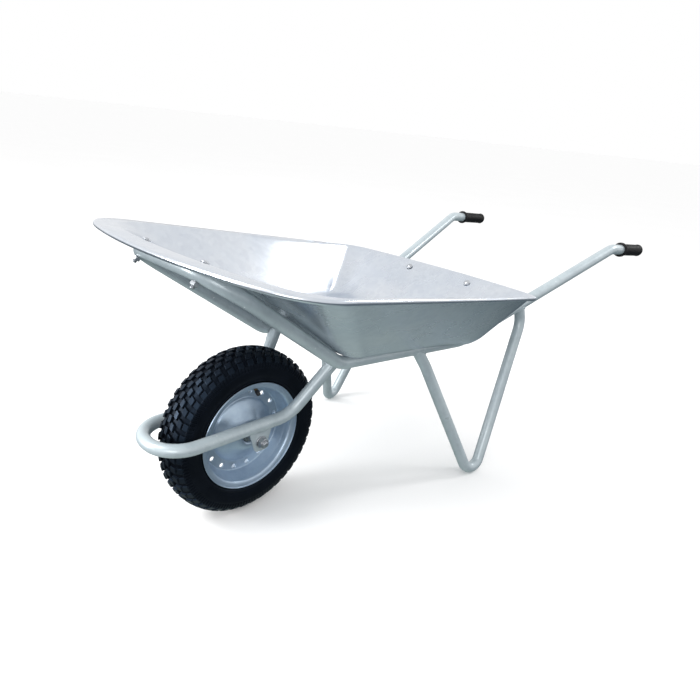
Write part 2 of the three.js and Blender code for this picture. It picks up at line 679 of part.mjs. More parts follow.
// A straight rod that leaves the wheel's middle plane at a radius and slopes outwards.
function valveRod(from, to, radius, sides) {
  const outwards = vector(1, 0, VALVE_SLOPE).normalize();
  const base = vector(0, 0, valveBaseRadius);
  return moved(() => rod(from, to, radius, sides), base, outwards);
}

const tubeInnerRadius = BEAD_SEAT_RADIUS + 4.5;
const valveBaseRadius = tubeInnerRadius + INNER_TUBE_WALL - FIT_GAP;

// Turns a body from the wheel's own frame, where the valve stands at +Z, to its place.
function intoWheel(solid) {
  const shape = solid.getMesh();
  const geometry = new THREE.BufferGeometry();
  geometry.setAttribute('position', new THREE.BufferAttribute(shape.vertProperties, 3));
  geometry.setIndex(new THREE.BufferAttribute(shape.triVerts, 1));
  geometry.rotateX(degrees(VALVE_ANGLE - 90));
  geometry.translate(0, 0, AXLE_HEIGHT);
  return solidOf(geometry);
}

function vents() {
  const cutters = [];
  for (let i = 0; i < VENT_COUNT; i += 1) {
    const angle = degrees(VENT_PHASE - VALVE_ANGLE + (360 / VENT_COUNT) * i);
    const centre = vector(0, VENT_CIRCLE_RADIUS * Math.cos(angle + Math.PI / 2), 0);
    centre.z = VENT_CIRCLE_RADIUS * Math.sin(angle + Math.PI / 2);
    cutters.push(moved(() => rod(-10, 10, VENT_RADIUS, 8), centre, vector(1, 0, 0)));
  }
  return cutters;
}

const ventCutters = vents();
const valveHole = valveRod(0, VALVE_LENGTH, VALVE_RADIUS + 0.8, FASTENER_SIDES);
for (const [side, hand] of [[1, 'right'], [-1, 'left']]) {
  const line = discLine.map(([x, radius]) => [side * x, radius]);
  const { near, far } = band(line, DISC_THICKNESS);
  let disc = turned([...near, ...far.reverse(), near[0]]);
  for (const cutter of ventCutters) disc = disc.subtract(cutter);
  if (side > 0) disc = disc.subtract(valveHole);
  add(`wheel_disc_${hand}`, intoWheel(disc), WHEEL_STEEL);
}

// Outside and inside of the tyre's casing from the crown to the bead, one side.
const beadBottom = BEAD_SEAT_RADIUS + DISC_THICKNESS / 2 + 2 * FIT_GAP;
const sidewallHeight = TYRE_RADIUS - FLANGE_RADIUS;
const tyreOutside = [
  [0.4 * TYRE_HALF_WIDTH, TYRE_RADIUS - 1.6],
  [0.74 * TYRE_HALF_WIDTH, TYRE_RADIUS - 7],
  [0.92 * TYRE_HALF_WIDTH, TYRE_RADIUS - 16],
  [TYRE_HALF_WIDTH, TYRE_RADIUS - 0.5 * sidewallHeight],
  [0.98 * TYRE_HALF_WIDTH, FLANGE_RADIUS + 0.27 * sidewallHeight],
  [RIM_HALF_WIDTH - 0.5, FLANGE_RADIUS + 2.5],
  [RIM_HALF_WIDTH - 5.2, beadBottom + 1],
];
const tyreInside = [
  [RIM_HALF_WIDTH - 12.5, beadBottom],
  [RIM_HALF_WIDTH - 9, FLANGE_RADIUS],
  [TYRE_HALF_WIDTH - SIDEWALL_THICKNESS, FLANGE_RADIUS + 0.4 * sidewallHeight],
  [0.8 * TYRE_HALF_WIDTH, TYRE_RADIUS - 22],
  [0.55 * TYRE_HALF_WIDTH, TYRE_RADIUS - TREAD_THICKNESS - 4],
];
const mirrored = (line) => line.map(([x, radius]) => [-x, radius]).reverse();
const tyreLoop = [
  [0, TYRE_RADIUS],
  ...tyreOutside,
  ...tyreInside,
  [0, TYRE_RADIUS - TREAD_THICKNESS],
  ...mirrored(tyreInside),
  ...mirrored(tyreOutside),
  [0, TYRE_RADIUS],
];
add('tyre', intoWheel(turned(tyreLoop)), RUBBER);

// Inner tube: a hollow ring just inside the casing, open at its valve.
function innerTubeLoop(inset) {
  const top = TYRE_RADIUS - TREAD_THICKNESS - 2 - inset;
  const bottom = tubeInnerRadius + inset;
  const half = TYRE_HALF_WIDTH - SIDEWALL_THICKNESS - 3 - inset;
  const centre = (top + bottom) / 2;
  const rise = (top - bottom) / 2;
  const loop = [];
  for (let i = 0; i <= 8; i += 1) {
    const angle = -Math.PI / 2 + (2 * Math.PI * i) / 8;
    const narrowing = Math.sin(angle) < -0.5 ? 0.72 : 0.96;
    loop.push([narrowing * half * Math.cos(angle), centre + rise * Math.sin(angle)]);
  }
  return loop;
}

const valveBore = valveRod(-1, VALVE_LENGTH + 1, 1.6, 6);
const innerTube = turned(innerTubeLoop(0), INNER_TUBE_FACETS)
  .subtract(turned(innerTubeLoop(INNER_TUBE_WALL), INNER_TUBE_FACETS));
const tubeMouth = valveRod(-4 * INNER_TUBE_WALL, 6 * INNER_TUBE_WALL, VALVE_RADIUS + FIT_GAP, FASTENER_SIDES);
add('inner_tube', intoWheel(innerTube.subtract(tubeMouth)), RUBBER);

const capStart = VALVE_LENGTH - 9;
const valve = valveRod(0, VALVE_LENGTH - 1, VALVE_RADIUS, FASTENER_SIDES)
  .subtract(valveBore)
  .subtract(ringAlongValve(capStart - FIT_GAP, VALVE_LENGTH + 1, VALVE_RADIUS - 0.8, VALVE_RADIUS + 2));
add('valve_stem', intoWheel(valve), RUBBER);

function ringAlongValve(from, to, inner, outer) {
  const core = valveRod(from - 1, to + 1, inner, FASTENER_SIDES);
  return valveRod(from, to, outer, FASTENER_SIDES).subtract(core);
}

const capBoreRadius = VALVE_RADIUS - 0.8 + FIT_GAP;
const capBore = valveRod(capStart - 1, VALVE_LENGTH - 1 + FIT_GAP, capBoreRadius, FASTENER_SIDES);
const cap = valveRod(capStart, VALVE_LENGTH + 2, VALVE_RADIUS + 0.4, FASTENER_SIDES).subtract(capBore);
add('valve_cap', intoWheel(cap), RUBBER);

// ---- Hub, axle and hangers -------------------------------------------------

function addAtAxle(name, solid, finish) {
  add(name, raised(solid), finish);
}

function raised(solid) {
  const shape = solid.getMesh();
  const geometry = new THREE.BufferGeometry();
  geometry.setAttribute('position', new THREE.BufferAttribute(shape.vertProperties, 3));
  geometry.setIndex(new THREE.BufferAttribute(shape.triVerts, 1));
  geometry.translate(0, 0, AXLE_HEIGHT);
  return solidOf(geometry);
}

const sleeveBore = AXLE_RADIUS + FIT_GAP;
const sleeveRadius = AXLE_RADIUS + SLEEVE_THICKNESS;
const bearingInnerFace = BEARING_OUTER_FACE - BEARING_WIDTH;
const washerFace = HANGER_OUTER_FACE + FIT_GAP;
const nutFace = washerFace + AXLE_WASHER_THICKNESS + FIT_GAP;
const axleEnd = nutFace + NUT_HEIGHT + AXLE_OVERHANG;

addAtAxle('axle', solidOf(rod(-axleEnd, axleEnd, AXLE_RADIUS, HUB_FACETS)), ZINC);
const innerSleeveEnd = bearingInnerFace - FIT_GAP;
const innerSleeve = ring(-innerSleeveEnd, innerSleeveEnd, sleeveBore, sleeveRadius, HUB_FACETS);
addAtAxle('bearing_spacer', innerSleeve, ZINC);

for (const [side, hand] of [[1, 'right'], [-1, 'left']]) {
  const onSide = (from, to) => (side > 0 ? [from, to] : [-to, -from]);
  const ringFrom = (from, to, inner, outer) => ring(...onSide(from, to), inner, outer, HUB_FACETS);
  const innerRace = ringFrom(bearingInnerFace, BEARING_OUTER_FACE, sleeveBore, RACE_SPLIT_RADIUS - FIT_GAP);
  addAtAxle(`bearing_inner_race_${hand}`, innerRace, BEARING_STEEL);
  const raceEnds = [bearingInnerFace + FIT_GAP, BEARING_OUTER_FACE - FIT_GAP];
  const outerRace = ringFrom(...raceEnds, RACE_SPLIT_RADIUS + FIT_GAP, BEARING_RADIUS);
  addAtAxle(`bearing_outer_race_${hand}`, outerRace, BEARING_STEEL);
  const spacerEnds = [BEARING_OUTER_FACE + FIT_GAP, HANGER_INNER_FACE - FIT_GAP];
  addAtAxle(`axle_spacer_${hand}`, ringFrom(...spacerEnds, sleeveBore, sleeveRadius), ZINC);
  const washerEnds = [washerFace, washerFace + AXLE_WASHER_THICKNESS];
  addAtAxle(`axle_washer_${hand}`, ringFrom(...washerEnds, sleeveBore, AXLE_WASHER_RADIUS), ZINC);
  const nutBlank = rod(...onSide(nutFace, nutFace + NUT_HEIGHT), hexRadius(NUT_ACROSS_FLATS), 6);
  const nutBore = rod(-axleEnd - 5, axleEnd + 5, sleeveBore, HUB_FACETS);
  addAtAxle(`axle_nut_${hand}`, solidOf(nutBlank).subtract(solidOf(nutBore)), ZINC);

  const hangerTop = FORK_ABOVE_AXLE - FORK_RADIUS - WELD_GAP;
  const shape = new THREE.Shape();
  shape.moveTo(-HANGER_HALF_LENGTH, hangerTop);
  shape.lineTo(-0.45 * HANGER_HALF_LENGTH, -HANGER_DROP);
  shape.lineTo(0.45 * HANGER_HALF_LENGTH, -HANGER_DROP);
  shape.lineTo(HANGER_HALF_LENGTH, hangerTop);
  shape.closePath();
  shape.holes.push(polygon(sleeveBore, HUB_FACETS, THREE.Path));
  const start = side > 0 ? HANGER_INNER_FACE : -HANGER_OUTER_FACE;
  const placement = new THREE.Matrix4()
    .makeBasis(vector(0, 1, 0), vector(0, 0, 1), vector(1, 0, 0))
    .setPosition(start, 0, AXLE_HEIGHT);
  add(`axle_hanger_${hand}`, plate(shape, HANGER_THICKNESS, placement), PAINT);
}

// ---- Place -----------------------------------------------------------------

const size = new THREE.Box3().setFromObject(barrow);
barrow.position.y = -(size.min.y + size.max.y) / 2;

export default barrow;
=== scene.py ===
import math

import bmesh
import bpy
from mathutils import Matrix, Vector

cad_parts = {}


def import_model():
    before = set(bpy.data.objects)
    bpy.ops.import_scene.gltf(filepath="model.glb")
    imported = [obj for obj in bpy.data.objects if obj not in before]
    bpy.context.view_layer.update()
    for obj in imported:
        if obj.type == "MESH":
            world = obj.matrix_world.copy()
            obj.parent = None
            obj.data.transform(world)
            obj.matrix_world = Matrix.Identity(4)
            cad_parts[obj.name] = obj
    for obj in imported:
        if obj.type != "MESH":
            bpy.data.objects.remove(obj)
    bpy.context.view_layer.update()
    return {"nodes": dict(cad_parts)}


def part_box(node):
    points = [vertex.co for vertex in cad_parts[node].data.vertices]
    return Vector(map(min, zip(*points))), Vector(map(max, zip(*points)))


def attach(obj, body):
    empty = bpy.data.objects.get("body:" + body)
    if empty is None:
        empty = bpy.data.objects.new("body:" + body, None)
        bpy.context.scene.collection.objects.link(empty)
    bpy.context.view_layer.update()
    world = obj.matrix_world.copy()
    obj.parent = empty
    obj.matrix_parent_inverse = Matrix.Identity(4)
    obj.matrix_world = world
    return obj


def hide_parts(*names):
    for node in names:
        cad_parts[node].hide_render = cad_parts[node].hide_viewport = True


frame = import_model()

MM = 0.001
axle_low, axle_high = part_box("axle")
axle_place = (axle_low + axle_high) / 2 / MM
SHIFT = Vector((0, axle_place.y, 0))
AXLE_HEIGHT = axle_place.z
scene = bpy.context.scene
rad = math.radians
HANDS = ((1, "right"), (-1, "left"))

# ---- Sizes, in millimetres and degrees, nearly all as the CAD has them ----

TYRE_RADIUS = AXLE_HEIGHT
TYRE_HALF_WIDTH = 41.5
FLANGE_RADIUS = 113.5
BEAD_SEAT_RADIUS = 101.5
RIM_HALF_WIDTH = 36.5
DISC_THICKNESS = 1.8
DISC_SHEET = 1.2  # the sheet as seen, a little thinner than the CAD's
DISC_FLAT_OUTER = 91
DISC_FLAT_INNER = 71
VENT_CIRCLE_RADIUS = 83
VENT_RADIUS = 5.3
VENT_COUNT = 16
VENT_PHASE = 10.3
VENT_SECTOR_STEPS = 8  # facets round the disc for each vent
VALVE_ANGLE = 81
VALVE_LENGTH = 40
VALVE_SLOPE = -0.6
VALVE_BASE_RADIUS = 108.2
VALVE_STEM_RADIUS = 4
VALVE_THREAD_RADIUS = 3.6
VALVE_THREADS = 6
VALVE_CAP_LENGTH = 9
VALVE_CAP_RADIUS = 4.4
VALVE_KNURLS = 12

AXLE_RADIUS = 6
BEARING_RADIUS = 16
BEARING_OUTER_FACE = 28
SLEEVE_RADIUS = 9
HANGER_INNER_FACE = 60
HANGER_THICKNESS = 4
HANGER_HALF_LENGTH = 27
HANGER_DROP = 21
NUT_FLATS = 19
NUT_HEIGHT = 10
AXLE_WASHER_RADIUS = 12
AXLE_WASHER_THICKNESS = 2.5
AXLE_OVERHANG = 5
AXLE_THREAD_PITCH = 1.6

RAIL_RADIUS = 13.6
RAIL_HEIGHT = 2 * TYRE_RADIUS - 22
RAIL_BEND_RADIUS = 62
FRONT_BEND_RADIUS = 80
FRONT_HALF_WIDTH = 148
KNEE_HALF_WIDTH = 118
HANDLE_HALF_WIDTH = 266
GRIP_END_HALF_WIDTH = 275
KNEE_Y = 145
FRONT_SLOPE = 34.5
FRONT_RUN = 302
REAR_BEND_Y = 485
HANDLE_BEND_Y = 1037
HANDLE_SLOPE = 19.2
GRIP_REACH = 187
GRIP_SLOPE = -4.5

FORK_RADIUS = 12.7
FORK_HALF_WIDTH = 62
FORK_HEIGHT = AXLE_HEIGHT + 36
FORK_FRONT_Y = -(TYRE_RADIUS + 14 + FORK_RADIUS)
FORK_BEND_Y = 70
FORK_BEND_RADIUS = 60
FORK_TOP_Y = 158
FORK_TOP_INSET = 23
FORK_LOOP_RADIUS = FORK_HALF_WIDTH - 2
FORK_WELD_LENGTH = 26

LEG_RADIUS = 12.9
LEG_FOOT_HALF_WIDTH = 259
LEG_FOOT_Y = 514
LEG_FOOT_BEND_RADIUS = 28
LEG_FRONT_Y = 350
LEG_REAR_Y = 679
LEG_BEND_DROP = 45
LEG_BEND_RADIUS = 60
LEG_FRONT_SPREAD = 12
LEG_FRONT_LEAN = 0.62
LEG_REAR_SPREAD = 7
LEG_REAR_LEAN = 0.26

CROSS_BAR_RADIUS = 10.9
CROSS_BAR_Y = 322
SUPPORT_THICKNESS = 4
SUPPORT_WIDTH = 30
SUPPORT_BEND_RADII = (20, 1, 1, 26)  # inner bend, two foot corners, outer bend

FIT_GAP = 0.3
SHEET = 1.2
RIM_SLOPE = -8
RIM_FRONT = {"y": -135, "half_width": 310, "bow": 24, "corner": 100}
RIM_REAR = {"y": 599, "half_width": 280, "bow": 33, "corner": 32}
LIP_FRONT_REACH = 39
LIP_REACH = 10
LIP_CORNER_EXTRA = 10
BEAD_RADIUS = 4
FLOOR_REAR = {"y": 490, "half_width": 226, "bow": 0, "corner": 40}
FLOOR_FRONT_HALF_WIDTH = 156
FLOOR_FRONT_CORNER = 40
FLOOR_BLEND = 26
RIM_BLEND = 7
LIP_CURL = 215  # degrees that the bead turns
BLEND_STEPS = 8
WALL_STEPS = 10
SHOULDER_STEPS = 7
CURL_STEPS = 14
FLOOR_RINGS = 7

GRIP_LENGTH = 132
GRIP_RADIUS = RAIL_RADIUS + 2.6
GRIP_COLLAR_RADIUS = GRIP_RADIUS + 3.8
GRIP_END_THICKNESS = 4
GRIP_RIBS = 14
GRIP_RIB_DEPTH = 1.3

BOLT_RADIUS = 4
BOLT_FLATS = 13
# (height, radius) up the low domed head of a cup bolt
CUP_HEAD = [(0, 0), (0, 6.3), (0.5, 6.5), (1.3, 5.9), (2.1, 4.7), (2.7, 3.1), (3, 1.5), (3.1, 0)]
BOLT_NUT_HEIGHT = 6.5
BOLT_WASHER_RADIUS = 8.5
BOLT_WASHER_THICKNESS = 1.6
BOLT_OVERHANG = 5
FRONT_BOLT_X = 89.5
REAR_BOLT_X = 92
REAR_BOLT_BELOW_RIM = 24
WASHER_SEAT_GAP = 1.1

WELD_BEAD = 2.3
WELD_RIPPLE = 3.2
WELD_FACETS = 10

# ---- Camera, from its place and angles ----

CAMERA_PLACE = (0.84156, -1.13497, 0.76235)  # metres
CAMERA_AZIMUTH = 41.87
CAMERA_ELEVATION = 21.77
CAMERA_ROLL = 6.03
CAMERA_LENS = 29.70
CAMERA_SENSOR = 36
CAMERA_SHIFT = (-0.0022, 0.0130)

# ---- Surroundings, in metres and watts ----

FLOOR_REACH = 400
FLOOR_LEVEL = -0.0005
SKY = (  # from straight down to straight up
    (0.0, (0.54, 0.64, 0.6)), (0.08, (0.42, 0.5, 0.49)), (0.26, (0.06, 0.09, 0.11)),
    (0.42, (0.16, 0.19, 0.22)), (0.49, (1, 1, 1)),
)
LIGHTS = {  # place, aim, width and height, power
    "key_light": ((-1.2, -2.6, 2.8), (0, 0, 0.3), (1.8, 1.2), 70),
    "low_front_light": ((-1.3, -2.6, 0.75), (0, -0.4, 0.35), (0.9, 0.7), 36),
    "side_fill": ((1.5, -2.4, 1.1), (0.1, -0.4, 0.35), (1.2, 0.9), 18),
    "rear_softbox": ((1.12, 2.23, 1.75), (-0.25, -0.1, 0.45), (0.45, 0.6), 18),
}

# ---- Mesh helpers ----

CRISP_ANGLE = 28  # degrees between faces of turned metal that shade as an edge


def metres(point):
    return (Vector(point) + SHIFT) * MM


def around(count):
    """Evenly spaced angles round a full turn."""
    return [2 * math.pi * i / count for i in range(count)]


def about_x(x, radius, angle):
    return Vector((x, radius * math.cos(angle), radius * math.sin(angle)))


def piece(name, shape, finish, body, replaces=(), bevel=0.0, sharp=35, extra=None):
    """Makes a named object from (points, faces) and seats it on its CAD body."""
    points, faces = shape
    mesh = bpy.data.meshes.new(name)
    mesh.from_pydata([metres(p) for p in points], [], faces)
    clean = bmesh.new()
    clean.from_mesh(mesh)
    bmesh.ops.remove_doubles(clean, verts=clean.verts, dist=1e-6)
    bmesh.ops.recalc_face_normals(clean, faces=clean.faces)
    clean.to_mesh(mesh)
    clean.free()
    mesh.polygons.foreach_set("use_smooth", [True] * len(mesh.polygons))
    mesh.set_sharp_from_angle(angle=rad(sharp))
    mesh.materials.append(finish)
    obj = bpy.data.objects.new(name, mesh)
    scene.collection.objects.link(obj)
    if extra:
        extra(obj)
    if bevel:
        rounding = obj.modifiers.new("rounded_edges", "BEVEL")
        rounding.width = bevel * MM
        rounding.segments = 2
        rounding.limit_method = "ANGLE"
        rounding.angle_limit = rad(32)
        rounding.harden_normals = True
    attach(obj, body)
    if replaces:
        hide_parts(*replaces)
    return obj


def hardware(name, shape, node):
    return piece(name, shape, ZINC, "frame", [node], sharp=CRISP_ANGLE)


def joined(*shapes):
    """Several (points, faces) shapes as one."""
    points, faces = [], []
    for some_points, some_faces in shapes:
        start = len(points)
        points += some_points
        faces += [tuple(start + i for i in face) for face in some_faces]
    return points, faces


def skin(rings, around=True, along=False):
    """Quads between rings of points. around closes each ring, along joins last to first."""
    size, count = len(rings[0]), len(rings)
    faces = []
    for i in range(count if along else count - 1):
        for j in range(size if around else size - 1):
            here, there = i * size, ((i + 1) % count) * size
            k = (j + 1) % size
            faces.append((here + j, here + k, there + k, there + j))
    return [p for ring in rings for p in ring], faces


def bent_path(corners, bend_radii, step=4):
    """Stations (point, tangent) along straight runs, with each inner corner as an arc."""
    corners = [Vector(c) for c in corners]
    runs = [(b - a).normalized() for a, b in zip(corners, corners[1:])]
    stations = [(corners[0], runs[0])]
    for corner, before, after, radius in zip(corners[1:], runs, runs[1:], bend_radii):
        turn = before.angle(after)
        axis = before.cross(after).normalized()
        start = corner - before * radius * math.tan(turn / 2)
        centre = start + axis.cross(before) * radius
        steps = max(2, math.ceil(turn / rad(step)))
        for s in range(steps + 1):
            swing = Matrix.Rotation(turn * s / steps, 3, axis)
            stations.append((centre + swing @ (start - centre), swing @ before))
    stations.append((corners[-1], runs[-1]))
    return stations


def tube(stations, radius, sides=36, start_on=None, end_on=None):
    """A closed round bar along stations. An end given a rail is shaped to sit on it."""
    across = stations[0][1].orthogonal().normalized()
    before = stations[0][1]
    rings = []
    for point, tangent in stations:
        across = before.rotation_difference(tangent) @ across
        across = (across - tangent * across.dot(tangent)).normalized()
        up = tangent.cross(across)
        round_it = [across * math.cos(a) + up * math.sin(a) for a in around(sides)]
        rings.append([point + outward * radius for outward in round_it])
        before = tangent
    if start_on:
        rings[0] = [meet(p, -stations[0][1], start_on, 1.0) for p in rings[0]]
    if end_on:
        rings[-1] = [meet(p, stations[-1][1], end_on, 1.0) for p in rings[-1]]
    points, faces = skin(rings)
    last = len(points) - sides
    faces.append(tuple(range(sides)))
    faces.append(tuple(range(last, last + sides)))
    return points, faces


def meet(point, heading, rail, sink):
    """Where a line reaches the surface of a rail (point, direction, radius), sunk a little."""
    place, along, radius = rail
    offset = point - place
    offset -= along * offset.dot(along)
    pace = heading - along * heading.dot(along)
    reach = radius - sink
    half = offset.dot(pace)
    inside = half * half - pace.length_squared * (offset.length_squared - reach * reach)
    travel = (-half - math.sqrt(max(0.0, inside))) / pace.length_squared
    return point + heading * travel


def weld(end, heading, radius, rail, bead=WELD_BEAD, count=132, ripples=26):
    """A rippled weld bead around the joint of a round bar with a rail."""
    across = heading.orthogonal().normalized()
    up = heading.cross(across)
    loop = []
    for angle in around(count):
        outward = across * math.cos(angle) + up * math.sin(angle)
        loop.append((meet(end + outward * radius, heading, rail, 0.0), outward))
    return bead_along(loop, bead, ripples, closed=True)


def bead_along(loop, bead, ripples, closed):
    """A weld bead along (point, outward) places, with one ripple for each puddle."""
    rings = []
    count = len(loop)
    for i, (point, outward) in enumerate(loop):
        ahead = loop[(i + 1) % count if closed else min(i + 1, count - 1)][0]
        behind = loop[i - 1 if closed or i else 0][0]
        tangent = (ahead - behind).normalized()
        out = (outward - tangent * outward.dot(tangent)).normalized()
        side = tangent.cross(out)
        phase = (i * ripples / count) % 1
        size = bead * (0.84 + 0.22 * math.sin(math.pi * phase))
        if not closed:
            size *= min(1.0, 0.35 + 3 * min(i, count - 1 - i) / count)
        turns = around(WELD_FACETS)
        rings.append([point + (out * math.cos(a) + side * math.sin(a)) * size for a in turns])
    points, faces = skin(rings, along=closed)
    if not closed:
        faces.append(tuple(range(WELD_FACETS)))
        faces.append(tuple(range(len(points) - WELD_FACETS, len(points))))
    return points, faces


def straight_weld(start, end, outward, bead=WELD_BEAD):
    start, end = Vector(start), Vector(end)
    length = (end - start).length
    count = max(12, int(length * 1.6))
    loop = [(start.lerp(end, i / (count - 1)), Vector(outward)) for i in range(count)]
    return bead_along(loop, bead, max(3, round(length / WELD_RIPPLE)), closed=False)


def aimed(point, direction):
    """Placement of a body made along X so that it runs along a direction from a point."""
    turn = Vector((1, 0, 0)).rotation_difference(Vector(direction)).to_matrix().to_4x4()
    return Matrix.Translation(Vector(point)) @ turn


def turned(profile, place, steps=96, closed=True):
    """A body of revolution about its own X, from [x, radius] corners, or a rule for them."""
    rings = []
    for angle in around(steps):
        section = profile(angle) if callable(profile) else profile
        rings.append([place @ about_x(x, r, angle) for x, r in section])
    return skin(rings, around=closed, along=True)


def hexagon(flats, start, end, place):
    """A hexagon bar along X whose ends have the round chamfer of a turned nut."""
    edge = 0.475 * flats

    def section(angle):
        radius = flats / 2 / math.cos((angle + rad(30)) % rad(60) - rad(30))
        fall = (radius - edge) * 0.55
        return [
            (start, 0), (start, edge), (start + fall, radius),
            (end - fall, radius), (end, edge), (end, 0),
        ]

    return turned(section, place, steps=72, closed=False)


def threaded(start, end, radius, place, pitch=1.25):
    """A threaded bar along X with a chamfered end."""
    profile = [(start, 0), (start, radius)]
    turns = int((end - start - pitch) / pitch)
    for i in range(turns):
        x = start + i * pitch
        profile += [(x + 0.25 * pitch, radius), (x + 0.65 * pitch, radius - 0.62 * pitch)]
        profile += [(x + pitch, radius)]
    profile += [(end - 0.5 * pitch, radius - 0.3), (end, radius - pitch), (end, 0)]
    return turned(profile, place, steps=48, closed=False)


def washer(start, end, inner, outer, place, rounding=0.35):
    profile = [
        (start, inner), (start, outer - rounding), (start + rounding, outer),
        (end - rounding, outer), (end, outer - rounding), (end, inner),
    ]
    return turned(profile, place, steps=72)


def smooth_line(points, steps=6):
    """A flowing line through [x, y] points."""
    padded = [points[0], *points, points[-1]]
    line = []
    for p0, p1, p2, p3 in zip(padded, padded[1:], padded[2:], padded[3:]):
        for s in range(steps):
            t = s / steps
            line.append(tuple(
                0.5 * (2 * b + (c - a) * t + (2 * a - 5 * b + 4 * c - d) * t * t
                       + (3 * b - a - 3 * c + d) * t ** 3)
                for a, b, c, d in zip(p0, p1, p2, p3)
            ))
    line.append(tuple(points[-1]))
    return line


def band(line, thickness):
    """The two sides of a sheet of that thickness whose middle is the line."""
    near, far = [], []
    for i, (x, y) in enumerate(line):
        px, py = line[max(i - 1, 0)]
        nx, ny = line[min(i + 1, len(line) - 1)]
        along = Vector((nx - px, ny - py)).normalized()
        near.append((x + along.y * thickness / 2, y - along.x * thickness / 2))
        far.append((x - along.y * thickness / 2, y + along.x * thickness / 2))
    return near, far


def plate(outline, thickness, place):
    """A flat piece with that outline in its own XY plane, thickened along +Z."""
    count = len(outline)
    points = [place @ Vector((x, y, z)) for z in (0, thickness) for x, y in outline]
    faces = [(i, (i + 1) % count, count + (i + 1) % count, count + i) for i in range(count)]
    faces += [tuple(range(count)), tuple(range(count, 2 * count))]
    return points, faces


def rounded_outline(corners, radii, steps=8):
    """A closed outline whose corners are rounded by their own radii."""
    outline = []
    count = len(corners)
    for i, corner in enumerate(corners):
        here = Vector(corner)
        back = (Vector(corners[i - 1]) - here).normalized()
        ahead = (Vector(corners[(i + 1) % count]) - here).normalized()
        trim = radii[i] / math.tan(back.angle(ahead) / 2)
        start, end = here + back * trim, here + ahead * trim
        for s in range(steps + 1):
            t = s / steps
            outline.append(tuple(start * (1 - t) ** 2 + here * 2 * t * (1 - t) + end * t * t))
    return outline


# ---- Materials ----


def fill_ramp(node, stops):
    """Sets a colour ramp's stops, each (position, grey or colour)."""
    elements = node.color_ramp.elements
    while len(elements) < len(stops):
        elements.new(0.5)
    for element, (position, colour) in zip(elements, stops):
        element.position = position
        grey = isinstance(colour, (int, float))
        element.color = (colour,) * 3 + (1,) if grey else (*colour, 1)


class Finish:
    """A node material under construction. Sizes of patterns are per metre."""

    def __init__(self, name, slot, **sockets):
        self.material = bpy.data.materials.new(name)
        self.material.use_nodes = True
        self.material["slot"] = slot
        self.nodes = self.material.node_tree.nodes
        self.links = self.material.node_tree.links
        self.shader = self.nodes["Principled BSDF"]
        for socket, value in sockets.items():
            self.shader.inputs[socket.replace("_", " ")].default_value = value
        self.place = self.nodes.new("ShaderNodeTexCoord").outputs["Object"]

    def node(self, kind, **inputs):
        """A new node, with each named input linked or set."""
        made = self.nodes.new(f"ShaderNode{kind}")
        for socket, value in inputs.items():
            if isinstance(value, bpy.types.NodeSocket):
                self.links.new(value, made.inputs[socket])
            else:
                made.inputs[socket].default_value = value
        return made

    def noise(self, scale, detail=3.0, roughness=0.55, distortion=0.0, place=None):
        return self.node(
            "TexNoise", Vector=place or self.place, Scale=scale, Detail=detail,
            Roughness=roughness, Distortion=distortion,
        ).outputs["Fac"]

    def cells(self, scale, output="Color"):
        return self.node("TexVoronoi", Vector=self.place, Scale=scale).outputs[output]

    def stretched(self, scale):
        return self.node("Mapping", Vector=self.place, Scale=scale).outputs["Vector"]

    def ramp(self, factor, *stops):
        made = self.node("ValToRGB", Fac=factor)
        fill_ramp(made, stops)
        return made.outputs["Color"]

    def mottle(self, low, high, scale, detail=3.0, roughness=0.55, span=(0.3, 0.7)):
        """A noise that runs from one grey or colour to another."""
        noise = self.noise(scale, detail, roughness)
        return self.ramp(noise, (span[0], low), (span[1], high))

    def blend(self, factor, a, b, kind="MIX"):
        node = self.nodes.new("ShaderNodeMix")
        node.data_type = "RGBA"
        node.blend_type = kind
        for socket, value in ((0, factor), (6, a), (7, b)):
            if isinstance(value, bpy.types.NodeSocket):
                self.links.new(value, node.inputs[socket])
            elif socket == 0:
                node.inputs[socket].default_value = value
            else:
                node.inputs[socket].default_value = (*value, 1)
        return node.outputs[2]

    def bump(self, height, strength, distance, onto=None):
        made = self.node("Bump", Height=height, Strength=strength, Distance=distance)
        if onto:
            self.links.new(onto, made.inputs["Normal"])
        return made.outputs["Normal"]

    def done(self, colour, roughness, normal):
        self.links.new(colour, self.shader.inputs["Base Color"])
        self.links.new(roughness, self.shader.inputs["Roughness"])
        self.links.new(normal, self.shader.inputs["Normal"])
        return self.material


def frame_paint():
    finish = Finish("frame_paint", "frame_paint", Metallic=0.15, Coat_Weight=0.35, Coat_Roughness=0.2)
    tone = finish.mottle((0.4, 0.465, 0.5), (0.475, 0.545, 0.575), 9)
    grime = finish.mottle((0.78, 0.79, 0.8), (1, 1, 1), 55, 6, 0.7, (0.3, 0.55))
    colour = finish.blend(0.55, tone, grime, "MULTIPLY")
    chips = finish.mottle(0.0, 1.0, 240, 2, 0.4, (0.74, 0.78))
    colour = finish.blend(chips, colour, (0.82, 0.84, 0.86))
    roughness = finish.mottle(0.27, 0.42, 34, 5, 0.6)
    return finish.done(colour, roughness, finish.bump(finish.noise(650, 2), 0.12, 0.0004))


def galvanised_sheet():
    finish = Finish("galvanised_sheet", "galvanised_sheet", Metallic=0.92)
    spangle = finish.ramp(finish.cells(85), (0.0, (0.64, 0.67, 0.72)), (1.0, (0.7, 0.73, 0.77)))
    cloud = finish.mottle((0.84, 0.88, 0.93), (1, 1, 1), 6, 4)
    colour = finish.blend(0.8, spangle, cloud, "MULTIPLY")
    smear = finish.noise(9, 4, 0.55, 0.3, finish.stretched((1, 0.35, 1)))
    roughness = finish.ramp(smear, (0.3, 0.2), (0.7, 0.34))
    waves = finish.bump(finish.noise(4, 1), 0.3, 0.012)
    return finish.done(colour, roughness, finish.bump(finish.noise(300, 1), 0.04, 0.0003, onto=waves))


